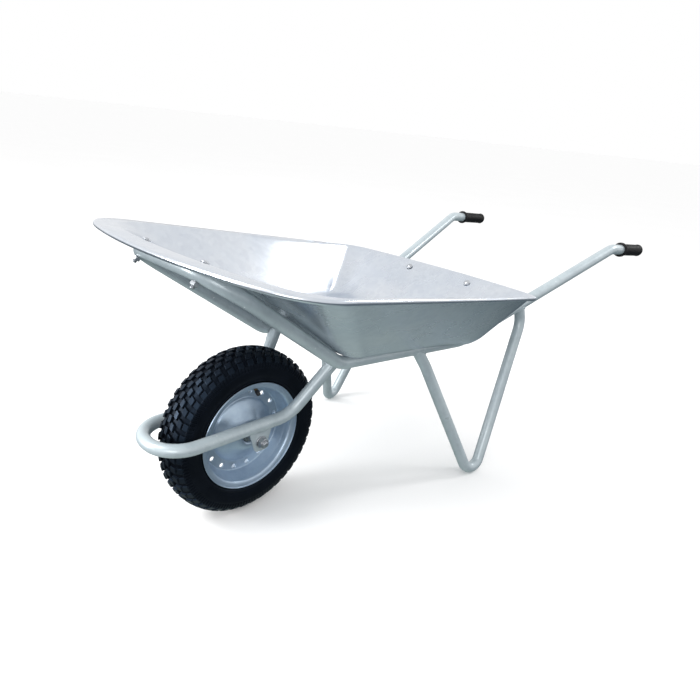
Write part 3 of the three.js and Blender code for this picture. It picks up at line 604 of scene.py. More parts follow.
def wheel_steel():
    finish = Finish("wheel_steel", "wheel_steel", Metallic=0.7, Coat_Weight=0.2, Coat_Roughness=0.25)
    tone = finish.mottle((0.38, 0.48, 0.6), (0.46, 0.57, 0.68), 14, 4)
    dust = finish.mottle((0.82, 0.85, 0.9), (1, 1, 1), 90, 6, 0.7, (0.35, 0.6))
    colour = finish.blend(0.6, tone, dust, "MULTIPLY")
    roughness = finish.mottle(0.3, 0.44, 40, 5, 0.6)
    return finish.done(colour, roughness, finish.bump(finish.noise(500, 3), 0.08, 0.0003))


def tyre_rubber(name, specular):
    # The blue specular tint is painted light: it gives the rubber's sheen the colour of a bluish light.
    finish = Finish(name, "tyre_rubber", Specular_IOR_Level=specular, Specular_Tint=(0.4, 0.64, 1, 1))
    bloom = ((0.0016, 0.0018, 0.0026), (0.004, 0.0048, 0.0075))
    tone = finish.mottle(*bloom, 22, 6, 0.65, (0.35, 0.75))
    roughness = finish.mottle(0.34, 0.52, 60, 5, 0.6)
    return finish.done(tone, roughness, finish.bump(finish.noise(900, 4, 0.6), 0.15, 0.0004))


def grip_plastic():
    finish = Finish("grip_plastic", "grip_plastic", Specular_IOR_Level=0.2)
    tone = finish.mottle((0.003, 0.003, 0.004), (0.008, 0.008, 0.01), 40, 5)
    roughness = finish.mottle(0.42, 0.62, 90, 5)
    return finish.done(tone, roughness, finish.bump(finish.cells(900, "Distance"), 0.25, 0.0005))


def speckled(name, tones, roughnesses, grain, metallic=0.0):
    """A plain finish. tones and roughnesses are (low, high, noise scale, detail), and
    grain is (noise scale, strength, distance)."""
    finish = Finish(name, name, Metallic=metallic)
    scale, strength, distance = grain
    bump = finish.bump(finish.noise(scale, 2), strength, distance)
    return finish.done(finish.mottle(*tones), finish.mottle(*roughnesses), bump)


PAINT = frame_paint()
GALVANISED = galvanised_sheet()
WHEEL_STEEL = wheel_steel()
ZINC = speckled(
    "zinc_plate", ((0.42, 0.44, 0.47), (0.58, 0.6, 0.63), 160, 4), (0.28, 0.5, 300, 4),
    (1400, 0.15, 0.0002), metallic=1.0,
)
BEARING = speckled(
    "bearing_steel", ((0.42, 0.42, 0.43), (0.58, 0.58, 0.58), 120, 4), (0.15, 0.32, 260, 4),
    (1600, 0.1, 0.0002), metallic=1.0,
)
RUBBER = tyre_rubber("tyre_rubber", 0.16)
TREAD_RUBBER = tyre_rubber("tread_rubber", 0.38)
GRIP = grip_plastic()
BRASS = speckled(
    "valve_brass", ((0.2, 0.15, 0.08), (0.3, 0.23, 0.13), 200, 4), (0.25, 0.4, 400, 3),
    (1500, 0.1, 0.0002), metallic=1.0,
)
CAP = speckled(
    "valve_cap_plastic", ((0.008, 0.008, 0.01), (0.02, 0.02, 0.024), 200, 3), (0.35, 0.5, 300, 3),
    (1200, 0.12, 0.0003),
)

# ---- Main frame tube ----


def rail_x(y):
    """Half-width of the rails, which spread evenly from the knees to the handle bends."""
    share = (y - KNEE_Y) / (HANDLE_BEND_Y - KNEE_Y)
    return KNEE_HALF_WIDTH + share * (HANDLE_HALF_WIDTH - KNEE_HALF_WIDTH)


def rail_height(y):
    return RAIL_HEIGHT + max(0, y - REAR_BEND_Y) * math.tan(rad(HANDLE_SLOPE))


front_cross_y = KNEE_Y - FRONT_RUN
front_cross_height = RAIL_HEIGHT + FRONT_RUN * math.tan(rad(FRONT_SLOPE))
handle_bend_height = rail_height(HANDLE_BEND_Y)


def rail_corners(side):
    grip_end_height = handle_bend_height + GRIP_REACH * math.tan(rad(GRIP_SLOPE))
    return [
        Vector((side * GRIP_END_HALF_WIDTH, HANDLE_BEND_Y + GRIP_REACH, grip_end_height)),
        Vector((side * HANDLE_HALF_WIDTH, HANDLE_BEND_Y, handle_bend_height)),
        Vector((side * rail_x(REAR_BEND_Y), REAR_BEND_Y, RAIL_HEIGHT)),
        Vector((side * KNEE_HALF_WIDTH, KNEE_Y, RAIL_HEIGHT)),
        Vector((side * FRONT_HALF_WIDTH, front_cross_y, front_cross_height)),
    ]


def rail_at(side, y):
    """The rail's line at a distance along the barrow: (point, direction, radius)."""
    spread = side * (rail_x(1) - rail_x(0))
    rise = math.tan(rad(HANDLE_SLOPE)) if y > REAR_BEND_Y else 0
    place = Vector((side * rail_x(y), y, rail_height(y)))
    return place, Vector((spread, 1, rise)).normalized(), RAIL_RADIUS


def main_frame():
    half = [RAIL_BEND_RADIUS, RAIL_BEND_RADIUS, RAIL_BEND_RADIUS, FRONT_BEND_RADIUS]
    corners = rail_corners(1) + rail_corners(-1)[::-1]
    path = bent_path(corners, half + half[::-1])
    piece("frame_tube", tube(path, RAIL_RADIUS, 44), PAINT, "frame", ["main_frame_tube"])


main_frame()

# ---- Tray ----

EDGE_POINTS = {"end": 44, "corner": 14, "side": 30}


def bezier(corners, t):
    a, b, c = (Vector(p) for p in corners)
    return a * (1 - t) ** 2 + b * 2 * t * (1 - t) + c * t * t


def tray_outline(front, rear):
    """Plan outline of one level of the tray, with the same count of points at every level."""
    front_end = front["half_width"] - front["corner"]
    rear_end = rear["half_width"] - rear["corner"]
    front_lead = 2 * front["bow"] * front["corner"] / front_end
    rear_lead = 2 * rear["bow"] * rear["corner"] / rear_end
    front_side = (front["half_width"], front["y"] + front["corner"])
    rear_side = (rear["half_width"], rear["y"] - rear["corner"])
    middle = tuple((a + b) / 2 for a, b in zip(front_side, rear_side))
    right = [
        ("corner", (front_end, front["y"]), (front["half_width"], front["y"] + front_lead), front_side),
        ("side", front_side, middle, rear_side),
        ("corner", rear_side, (rear["half_width"], rear["y"] - rear_lead), (rear_end, rear["y"])),
    ]
    left = [(kind, *((-x, y) for x, y in reversed(corners))) for kind, *corners in reversed(right)]
    front_peak = (0, front["y"] - 2 * front["bow"])
    rear_peak = (0, rear["y"] + 2 * rear["bow"])
    curves = [
        ("end", (-front_end, front["y"]), front_peak, (front_end, front["y"])), *right,
        ("end", (rear_end, rear["y"]), rear_peak, (-rear_end, rear["y"])), *left,
    ]
    return [
        bezier(corners, i / EDGE_POINTS[kind])
        for kind, *corners in curves
        for i in range(EDGE_POINTS[kind])
    ]


def lip_end(rim, reach):
    return {
        "y": rim["y"] + reach, "half_width": rim["half_width"] + LIP_REACH,
        "bow": rim["bow"], "corner": rim["corner"] + LIP_CORNER_EXTRA,
    }


# The front wall lies along the rails, just clear of the front cross part.
slope = rad(FRONT_SLOPE)
floor_height = RAIL_HEIGHT + RAIL_RADIUS + FIT_GAP + SHEET / 2
stand_off = RAIL_RADIUS + FIT_GAP + SHEET / 2
front_wall_y = front_cross_y + stand_off * math.sin(slope)
front_wall_height = front_cross_height + stand_off * math.cos(slope)
wall_top_y = RIM_FRONT["y"] - RIM_FRONT["bow"]
wall_top_height = front_wall_height + (front_wall_y - wall_top_y) * math.tan(slope)
floor_front = {
    "y": front_wall_y + (front_wall_height - floor_height) / math.tan(slope),
    "half_width": FLOOR_FRONT_HALF_WIDTH, "bow": 0, "corner": FLOOR_FRONT_CORNER,
}


def rim_height(y):
    return wall_top_height + (y - wall_top_y) * math.tan(rad(RIM_SLOPE))


def tray_line(run, rise, lip_run, lip_rise):
    """Middle of the sheet from the floor, up the wall, over the flange and round the bead."""
    length = math.hypot(run, rise)
    ux, uy = run / length, rise / length
    foot = [(-FLOOR_BLEND, 0), (0, 0), (ux * FLOOR_BLEND, uy * FLOOR_BLEND)]
    line = [tuple(bezier(foot, i / BLEND_STEPS)) for i in range(BLEND_STEPS + 1)]
    shoulder = [(run - ux * RIM_BLEND, rise - uy * RIM_BLEND), (run, rise), (run + RIM_BLEND, rise)]
    start, end = Vector(line[-1]), Vector(shoulder[0])
    line += [tuple(start.lerp(end, i / WALL_STEPS)) for i in range(1, WALL_STEPS)]
    line += [tuple(bezier(shoulder, i / SHOULDER_STEPS)) for i in range(SHOULDER_STEPS + 1)]
    for i in range(CURL_STEPS + 1):
        angle = math.pi / 2 - (i / CURL_STEPS) * rad(LIP_CURL)
        x = lip_run + BEAD_RADIUS * math.cos(angle)
        line.append((x, lip_rise - BEAD_RADIUS + BEAD_RADIUS * math.sin(angle)))
    return line


def tray_shell():
    floor_line = tray_outline(floor_front, FLOOR_REAR)
    rim_line = tray_outline(RIM_FRONT, RIM_REAR)
    lip_line = tray_outline(lip_end(RIM_FRONT, -LIP_FRONT_REACH), lip_end(RIM_REAR, LIP_REACH))
    rings = []
    for foot, rim, lip in zip(floor_line, rim_line, lip_line):
        outward = lip - foot
        lip_run = outward.length
        outward.normalize()
        run = (rim - foot).dot(outward)
        rise = rim_height(rim.y) - floor_height
        line = tray_line(run, rise, lip_run, rim_height(lip.y) - floor_height)
        near, far = band(line, SHEET)
        section = far + near[::-1]
        rings.append([
            Vector((foot.x + outward.x * u, foot.y + outward.y * u, floor_height + v))
            for u, v in section
        ])
    points, faces = skin(rings, around=False, along=True)
    size = len(rings[0])
    middle_y = (floor_front["y"] + FLOOR_REAR["y"]) / 2
    for edge, level in ((0, SHEET / 2), (size - 1, -SHEET / 2)):
        centre = Vector((0, middle_y, floor_height + level))
        shares = [k / FLOOR_RINGS for k in range(FLOOR_RINGS)]
        inner = [[ring[edge].lerp(centre, share) for ring in rings] for share in shares]
        floor_points, floor_faces = skin(inner)
        start = len(floor_points)
        floor_points.append(centre)
        count = len(rings)
        last = (FLOOR_RINGS - 1) * count
        floor_faces += [(last + i, last + (i + 1) % count, start) for i in range(count)]
        points, faces = joined((points, faces), (floor_points, floor_faces))
    return points, faces


piece("tray_shell", tray_shell(), GALVANISED, "frame", ["tray"], sharp=50)

# ---- Tray fasteners ----


def end_wall(sign, x, share):
    """Place and outward direction of the tray's end wall, a share of the way up."""
    floor, rim = (floor_front, RIM_FRONT) if sign < 0 else (FLOOR_REAR, RIM_REAR)
    floor_end = floor["half_width"] - floor["corner"]
    rim_end = rim["half_width"] - rim["corner"]

    def place(across, up):
        bowed = rim["y"] + sign * rim["bow"] * (1 - across * across)
        width = floor_end + up * (rim_end - floor_end)
        y = floor["y"] + up * (bowed - floor["y"])
        return Vector((across * width, y, floor_height + up * (rim_height(bowed) - floor_height)))

    across = x / (floor_end + share * (rim_end - floor_end))
    point = place(across, share)
    sideways = place(across + 0.01, share) - point
    upwards = place(across, share + 0.01) - point
    outward = sideways.cross(upwards).normalized()
    return point, -outward if outward.z > 0 else outward


def tray_fastener(name, point, direction, grip):
    """A bolt from inside the tray, through the sheet and a frame piece, with its nut."""
    place = aimed(point, direction)
    head_face = -(SHEET / 2 + WASHER_SEAT_GAP + BOLT_WASHER_THICKNESS + FIT_GAP)
    washer_face = head_face + FIT_GAP
    washer_end = washer_face + BOLT_WASHER_THICKNESS
    nut_face = grip + FIT_GAP
    end = nut_face + BOLT_NUT_HEIGHT + BOLT_OVERHANG
    head = turned([(head_face - up, radius) for up, radius in CUP_HEAD], place, 48, closed=False)
    shank = threaded(head_face - 1, end, BOLT_RADIUS, place)
    hardware(f"bolt_{name}", joined(head, shank), f"{name}_bolt")
    ring = washer(washer_face, washer_end, BOLT_RADIUS, BOLT_WASHER_RADIUS, place)
    hardware(f"washer_{name}", ring, f"{name}_washer")
    nut = hexagon(BOLT_FLATS, nut_face, nut_face + BOLT_NUT_HEIGHT, place)
    hardware(f"nut_{name}", nut, f"{name}_nut")


front_share = (front_wall_height - floor_height) / (wall_top_height - floor_height)
rear_top_y = RIM_REAR["y"] + RIM_REAR["bow"]
rear_wall_length = math.hypot(rear_top_y - FLOOR_REAR["y"], rim_height(rear_top_y) - floor_height)
rear_share = 1 - REAR_BOLT_BELOW_RIM / rear_wall_length
rear_middle, rear_outward = end_wall(1, 0, rear_share)

for side, hand in HANDS:
    point, outward = end_wall(-1, side * FRONT_BOLT_X, front_share)
    cross = Vector((side * FRONT_BOLT_X, front_cross_y, front_cross_height))
    tray_fastener(f"front_{hand}", point, outward, (cross - point).dot(outward) + RAIL_RADIUS)
    point, outward = end_wall(1, side * REAR_BOLT_X, rear_share)
    to_support = (rear_middle - point).dot(rear_outward) + SHEET / 2 + FIT_GAP
    tray_fastener(f"rear_{hand}", point, rear_outward, to_support + SUPPORT_THICKNESS)

# ---- Rear tray support ----


def rear_support():
    """A flat arch against the rear wall, from rail to rail."""
    up = Vector((0, -rear_outward.z, rear_outward.y))
    corner = rear_middle + rear_outward * (SHEET / 2 + FIT_GAP)
    place = Matrix((
        (-1, up.x, rear_outward.x, corner.x),
        (0, up.y, rear_outward.y, corner.y),
        (0, up.z, rear_outward.z, corner.z),
        (0, 0, 0, 1),
    ))
    drop = (corner.z - RAIL_HEIGHT - RAIL_RADIUS + 2) / up.z
    foot_y = corner.y - drop * up.y
    foot_x = rail_x(foot_y)
    half = SUPPORT_WIDTH / 2
    right = [
        (foot_x - half, -drop), (foot_x + half, -drop),
        (REAR_BOLT_X + SUPPORT_WIDTH, half),
    ]
    inner = (REAR_BOLT_X + half, -half)
    corners = [inner, *right, *((-x, y) for x, y in reversed(right)), (-inner[0], inner[1])]
    radii = SUPPORT_BEND_RADII + SUPPORT_BEND_RADII[::-1]
    arch = plate(rounded_outline(corners, radii), SUPPORT_THICKNESS, place)
    piece("support_arch", arch, PAINT, "frame", ["rear_tray_support"], bevel=0.6)
    beads = []
    for side in (1, -1):
        ends = [place @ Vector((side * (foot_x + s * half), 1.5 - drop, 0)) for s in (-1, 1)]
        beads.append(straight_weld(*ends, rear_outward * -1))
        ends = [p + rear_outward * SUPPORT_THICKNESS for p in ends]
        beads.append(straight_weld(*ends, rear_outward))
    piece("support_welds", joined(*beads), PAINT, "frame")


rear_support()

# ---- Lower cross bar ----


def cross_bar():
    ends = [Vector((side * rail_x(CROSS_BAR_Y), CROSS_BAR_Y, RAIL_HEIGHT)) for side in (-1, 1)]
    path = bent_path(ends, [])
    rails = [rail_at(side, CROSS_BAR_Y) for side in (-1, 1)]
    shape = tube(path, CROSS_BAR_RADIUS, 40, *rails)
    piece("cross_bar", shape, PAINT, "frame", ["lower_cross_bar"])
    beads = [
        weld(end, Vector((side, 0, 0)), CROSS_BAR_RADIUS, rail)
        for end, side, rail in zip(ends, (-1, 1), rails)
    ]
    piece("cross_bar_welds", joined(*beads), PAINT, "frame")


cross_bar()

# ---- Fork and guard loop ----


def fork_corners(side):
    return [
        Vector((side * (rail_x(FORK_TOP_Y) - FORK_TOP_INSET), FORK_TOP_Y, RAIL_HEIGHT)),
        Vector((side * FORK_HALF_WIDTH, FORK_BEND_Y, FORK_HEIGHT)),
        Vector((side * FORK_HALF_WIDTH, FORK_FRONT_Y, FORK_HEIGHT)),
    ]


def fork():
    corners = fork_corners(1) + fork_corners(-1)[::-1]
    bends = [FORK_BEND_RADIUS, FORK_LOOP_RADIUS, FORK_LOOP_RADIUS, FORK_BEND_RADIUS]
    path = bent_path(corners, bends)
    piece("fork_tube", tube(path, FORK_RADIUS, 44), PAINT, "frame", ["fork_guard_tube"], bevel=1.0)
    beads = []
    for side in (1, -1):
        top, bend, _ = fork_corners(side)
        run = (top - bend).normalized()
        start = top + Vector((side * FORK_RADIUS * 0.8, -FORK_RADIUS * 0.6, 0)) - run * 2
        end = start - run * FORK_WELD_LENGTH
        beads.append(straight_weld(start, end, Vector((side * 0.3, -1, 0))))
        rim = []
        for i in range(60):
            angle = rad(-100 + 200 * i / 59)
            out = Vector((side * math.cos(angle), math.sin(angle), 0))
            rim.append((top + out * FORK_RADIUS + Vector((0, 0, -1)), out))
        beads.append(bead_along(rim, WELD_BEAD, 13, closed=False))
    piece("fork_welds", joined(*beads), PAINT, "frame")


fork()

# ---- Legs ----


def leg_corners(side):
    """The foot's corner is set so that the outside of the foot bend meets the ground."""
    front_top = Vector((side * rail_x(LEG_FRONT_Y), LEG_FRONT_Y, RAIL_HEIGHT))
    rear_top = Vector((side * rail_x(LEG_REAR_Y), LEG_REAR_Y, rail_height(LEG_REAR_Y)))
    front_bend = front_top + Vector(
        (side * LEG_FRONT_SPREAD, LEG_FRONT_LEAN * LEG_BEND_DROP, -LEG_BEND_DROP)
    )
    rear_bend = rear_top + Vector(
        (side * LEG_REAR_SPREAD, LEG_REAR_LEAN * LEG_BEND_DROP, -LEG_BEND_DROP)
    )
    foot = Vector((side * LEG_FOOT_HALF_WIDTH, LEG_FOOT_Y, 0))
    for _ in range(6):
        path = bent_path([front_bend, foot, rear_bend], [LEG_FOOT_BEND_RADIUS])
        foot.z += LEG_RADIUS + 0.05 - min(point.z for point, _ in path)
    return [front_top, front_bend, foot, rear_bend, rear_top]


def leg(side, hand):
    bends = [LEG_BEND_RADIUS, LEG_FOOT_BEND_RADIUS, LEG_BEND_RADIUS]
    path = bent_path(leg_corners(side), bends)
    rails = [rail_at(side, LEG_FRONT_Y), rail_at(side, LEG_REAR_Y)]
    shape = tube(path, LEG_RADIUS, 44, *rails)
    piece(f"leg_tube_{hand}", shape, PAINT, "frame", [f"leg_{hand}"])
    beads = [
        weld(path[0][0], -path[0][1], LEG_RADIUS, rails[0]),
        weld(path[-1][0], path[-1][1], LEG_RADIUS, rails[1]),
    ]
    piece(f"leg_welds_{hand}", joined(*beads), PAINT, "frame")


for side, hand in HANDS:
    leg(side, hand)

# ---- Grips ----


def grip_profile():
    """Ribbed sleeve with a collar at its mouth and a closed, domed end."""
    ribbed_from, ribbed_to = 9, GRIP_LENGTH - 12
    pitch = (ribbed_to - ribbed_from) / GRIP_RIBS
    collar = GRIP_COLLAR_RADIUS - GRIP_RADIUS
    # (place along the grip, height above its radius), and for a rib (share of its pitch, height)
    line = [(0, collar - 1.2), (1.2, collar), (3.8, collar), (5.2, collar - 1.2), (7, 0.3)]
    rib = [(0, -GRIP_RIB_DEPTH), (0.18, -GRIP_RIB_DEPTH - 0.1), (0.34, -0.3), (0.55, 0), (0.78, -0.3)]
    line += [(ribbed_from + (i + u) * pitch, v) for i in range(GRIP_RIBS) for u, v in rib]
    line += [
        (ribbed_to, -1.2), (ribbed_to + 2, 0.4), (GRIP_LENGTH - 5, 0.9), (GRIP_LENGTH - 2.2, 0),
        (GRIP_LENGTH - 0.6, -2.4), (GRIP_LENGTH, -5), (GRIP_LENGTH, -GRIP_RADIUS),
    ]
    return [(0, RAIL_RADIUS + 0.2)] + [(x, GRIP_RADIUS + v) for x, v in line]


for side, hand in HANDS:
    end, bend = rail_corners(side)[:2]
    run = (end - bend).normalized()
    mouth = end + run * (GRIP_END_THICKNESS + FIT_GAP - GRIP_LENGTH)
    sleeve = turned(grip_profile(), aimed(mouth, run), steps=64, closed=False)
    piece(f"handle_grip_{hand}", sleeve, GRIP, "frame", [f"grip_{hand}"], sharp=60)

# ---- Wheel ----

IN_WHEEL = Matrix.Translation((0, 0, AXLE_HEIGHT)) @ Matrix.Rotation(rad(VALVE_ANGLE - 90), 4, "X")
AT_AXLE = Matrix.Translation((0, 0, AXLE_HEIGHT))


def disc_line(part):
    """Middle of the right-hand disc's sheet: its dome, or its cone and flange."""
    collar = BEARING_RADIUS + FIT_GAP + DISC_THICKNESS / 2
    flat_x = DISC_THICKNESS / 2 + FIT_GAP / 2
    if part == "dome":
        dome = [
            (BEARING_OUTER_FACE + 1.5, collar + 1.2), (BEARING_OUTER_FACE + 3, collar + 4),
            (BEARING_OUTER_FACE + 2.1, collar + 10), (BEARING_OUTER_FACE - 1.5, collar + 17),
            (BEARING_OUTER_FACE / 2 + 1, collar + 32), (flat_x + 4.5, DISC_FLAT_INNER - 6),
            (flat_x + 0.6, DISC_FLAT_INNER - 1.6), (flat_x, DISC_FLAT_INNER + 1),
        ]
        return [(BEARING_OUTER_FACE - 10, collar), (BEARING_OUTER_FACE, collar)] + smooth_line(dome, 5)
    cone = [
        (flat_x, DISC_FLAT_OUTER - 1), (flat_x + 0.7, DISC_FLAT_OUTER + 0.6),
        (flat_x + 3.6, DISC_FLAT_OUTER + 2), (0.62 * RIM_HALF_WIDTH - 4, BEAD_SEAT_RADIUS - 4),
        (0.62 * RIM_HALF_WIDTH, BEAD_SEAT_RADIUS - 2.5), (RIM_HALF_WIDTH - 5, BEAD_SEAT_RADIUS - 0.4),
        (RIM_HALF_WIDTH - 2, BEAD_SEAT_RADIUS + 2.4), (RIM_HALF_WIDTH - 0.6, FLANGE_RADIUS - 4.5),
        (RIM_HALF_WIDTH, FLANGE_RADIUS - 1.2), (RIM_HALF_WIDTH + 1.4, FLANGE_RADIUS + 0.2),
        (RIM_HALF_WIDTH + 2.8, FLANGE_RADIUS - 0.9),
    ]
    return smooth_line(cone, 4)


def vented_flat(side, x, inner, outer):
    """A flat ring of sheet with a round vent in each sector."""
    per_vent, across = VENT_SECTOR_STEPS, VENT_SECTOR_STEPS // 2
    points, faces = [], []
    half = math.pi / VENT_COUNT
    swing = [half * (2 * i / per_vent - 1) for i in range(per_vent)]
    climb = [(outer - inner) * i / across for i in range(across)]
    edge = [(inner, a) for a in swing] + [(inner + r, half) for r in climb]
    edge += [(outer, -a) for a in swing] + [(outer - r, -half) for r in climb]
    for v in range(VENT_COUNT):
        middle = rad(VENT_PHASE + 360 / VENT_COUNT * v - VALVE_ANGLE + 90)
        start = len(points)
        count = len(edge)
        centre = Vector((math.cos(middle), math.sin(middle))) * VENT_CIRCLE_RADIUS
        flat = [Vector((r * math.cos(middle + a), r * math.sin(middle + a))) for r, a in edge]
        hole = [centre + (p - centre).normalized() * VENT_RADIUS for p in flat]
        lip = [centre + (p - centre).normalized() * (VENT_RADIUS + 1.2) for p in flat]
        for ring, depth in ((flat, 0.0), (lip, 0.0), (hole, 0.25)):
            points += [Vector((side * (x + depth), p.x, p.y)) for p in ring]
        for level in (0, 1):
            a, b = start + level * count, start + (level + 1) * count
            for i in range(count):
                j = (i + 1) % count
                faces.append((a + i, a + j, b + j, b + i))
    return [IN_WHEEL @ p for p in points], faces


def sheet_of(obj):
    """Thickens a surface into sheet metal, half to each side."""
    sheet = obj.modifiers.new("sheet", "SOLIDIFY")
    sheet.thickness = DISC_SHEET * MM
    sheet.offset = 0


def wheel_disc(side, hand):
    steps = VENT_COUNT * VENT_SECTOR_STEPS
    phase = VENT_PHASE - VALVE_ANGLE + 90 + 180 / VENT_COUNT
    turn = IN_WHEEL @ Matrix.Rotation(rad(phase), 4, "X")
    dome = turned([(side * x, r) for x, r in disc_line("dome")], turn, steps, closed=False)
    cone = turned([(side * x, r) for x, r in disc_line("cone")], turn, steps, closed=False)
    flat_x = DISC_THICKNESS / 2 + FIT_GAP / 2
    flat = vented_flat(side, flat_x, DISC_FLAT_INNER + 1, DISC_FLAT_OUTER - 1)
    piece(
        f"rim_disc_{hand}", joined(dome, cone, flat), WHEEL_STEEL, "wheel",
        [f"wheel_disc_{hand}"], sharp=50, extra=sheet_of,
    )


for side, hand in HANDS:
    wheel_disc(side, hand)

# Tyre: a smooth casing that carries rows of tread blocks.
TREAD_PITCHES = 46
BLOCK_HEIGHT = 5.2
BLOCK_ROOT = 1.2  # how far a block's foot is sunk in the casing
BLOCK_TOP_SHARE = 0.86
BLOCK_WEAR = 0.15
RIB_HALF_WIDTH = 1.5
CROWN = [(0, 175), (9, 174.6), (16.6, 173.4), (24, 171.2), (30.7, 168), (35.4, 163.6), (38.2, 159)]


def crown_radius(x):
    for (x0, r0), (x1, r1) in zip(CROWN, CROWN[1:]):
        if abs(x) <= x1:
            return r0 + (r1 - r0) * (abs(x) - x0) / (x1 - x0)
    return CROWN[-1][1]


def casing():
    side_height = TYRE_RADIUS - FLANGE_RADIUS
    outside = [(x, r - BLOCK_HEIGHT) for x, r in CROWN[:-1]] + [
        (38.2, 157), (40.3, 151.5), (40.9, 147), (TYRE_HALF_WIDTH, TYRE_RADIUS - 0.5 * side_height),
        (41.2, 137), (40.6, FLANGE_RADIUS + 0.27 * side_height), (39.2, 123.5),
        (39.4, 120.6), (38.6, 118.6), (36.4, 115.6), (RIM_HALF_WIDTH - 3.4, 108),
        (RIM_HALF_WIDTH - 5.2, 104),
    ]
    inside = [
        (RIM_HALF_WIDTH - 12.5, 103), (RIM_HALF_WIDTH - 9, FLANGE_RADIUS),
        (35.5, FLANGE_RADIUS + 0.4 * side_height), (33, 153), (22.8, 163), (0, 167),
    ]
    right = smooth_line(outside, 4) + inside
    left = [(-x, r) for x, r in reversed(right)]
    return turned(right[:-1] + left[:-1], IN_WHEEL, steps=184)


def block(x, angle, width, length, skew):
    """One tread block on the casing: its foot is sunk in the rubber and its sides draw in."""
    points = []
    for share, drop in ((1, BLOCK_HEIGHT + BLOCK_ROOT), (BLOCK_TOP_SHARE, BLOCK_WEAR)):
        for u, v in ((-1, -1), (1, -1), (1, 1), (-1, 1)):
            across = x + u * width / 2 * share
            radius = crown_radius(across) - drop
            turn = angle + (v * length / 2 * share + u * skew) / TYRE_RADIUS
            points.append(IN_WHEEL @ about_x(across, radius, turn))
    faces = [(0, 1, 2, 3), (4, 5, 6, 7)]
    faces += [(i, (i + 1) % 4, 4 + (i + 1) % 4, 4 + i) for i in range(4)]
    return points, faces


def tread():
    rows = [  # across, width, length, share of a pitch, skew
        (0.0, 9.5, 16.5, 0.0, 0.0),
        (12.6, 10.0, 16.0, 0.5, 1.8), (-12.6, 10.0, 16.0, 0.5, -1.8),
        (25.2, 10.5, 15.5, 0.0, 2.4), (-25.2, 10.5, 15.5, 0.0, -2.4),
        (35.6, 7.4, 15.5, 0.1, 1.2), (-35.6, 7.4, 15.5, 0.1, -1.2),
    ]
    shapes = []
    for k in range(TREAD_PITCHES):
        for x, width, length, offset, skew in rows:
            angle = 2 * math.pi * (k + offset) / TREAD_PITCHES
            shapes.append(block(x, angle, width, length, skew))
    return joined(*shapes)


def shoulder_ribs():
    """Short radial ribs on the shoulders, three to a pitch, under the tread."""
    shapes = []
    count = TREAD_PITCHES * 3
    down_the_shoulder = [(38.6, 158.5), (40.9, 152.5), (TYRE_HALF_WIDTH, 146.5)]
    section = [(-RIB_HALF_WIDTH, -1.5), (-0.6 * RIB_HALF_WIDTH, 0.55)]
    section += [(-du, dx) for du, dx in reversed(section)]
    for side in (1, -1):
        for k in range(count):
            angle = 2 * math.pi * (k + 0.5) / count
            rings = []
            for x, r in down_the_shoulder:
                ring = []
                for du, dx in section:
                    reach = side * min(x + dx, TYRE_HALF_WIDTH + 0.4)
                    ring.append(IN_WHEEL @ about_x(reach, r, angle + du / r))
                rings.append(ring)
            points, faces = skin(rings)
            faces += [(0, 1, 2, 3), (8, 9, 10, 11)]
            shapes.append((points, faces))
    return joined(*shapes)


piece("tyre_casing", casing(), RUBBER, "wheel", ["tyre"], sharp=60)
piece("tyre_tread", tread(), TREAD_RUBBER, "wheel", bevel=0.9, sharp=30)
piece("tyre_shoulder_ribs", shoulder_ribs(), RUBBER, "wheel", bevel=0.35, sharp=30)


def valve():
    heading = Vector((1, 0, VALVE_SLOPE)).normalized()
    foot = Matrix.Translation((0, 0, VALVE_BASE_RADIUS))
    place = IN_WHEEL @ foot @ aimed((0, 0, 0), heading)
    cap_start = VALVE_LENGTH - VALVE_CAP_LENGTH
    core = VALVE_THREAD_RADIUS - 0.5
    stem = [(0, 0), (0, VALVE_STEM_RADIUS), (8, VALVE_STEM_RADIUS)]
    stem += [(cap_start - 6, VALVE_STEM_RADIUS), (cap_start - 5, VALVE_THREAD_RADIUS - 0.2)]
    for i in range(VALVE_THREADS):
        crest = cap_start - 4.6 + i * 0.8
        stem += [(crest, VALVE_THREAD_RADIUS), (crest + 0.4, core)]
    stem += [(VALVE_LENGTH - 1, core), (VALVE_LENGTH - 1, 0)]
    piece("valve_body", turned(stem, place, 40, closed=False), BRASS, "wheel", ["valve_stem"])

    def knurled(angle):
        grip = VALVE_CAP_RADIUS + 0.22 * math.cos(VALVE_KNURLS * angle)
        return [
            (cap_start, 0), (cap_start, grip - 0.4), (cap_start + 0.5, grip),
            (VALVE_LENGTH - 1, grip), (VALVE_LENGTH + 1, 3.6),
            (VALVE_LENGTH + 2, 2), (VALVE_LENGTH + 2, 0),
        ]

    cap = turned(knurled, place, 72, closed=False)
    piece("valve_dust_cap", cap, CAP, "wheel", ["valve_cap"])


valve()

# ---- Hub, axle and hangers ----


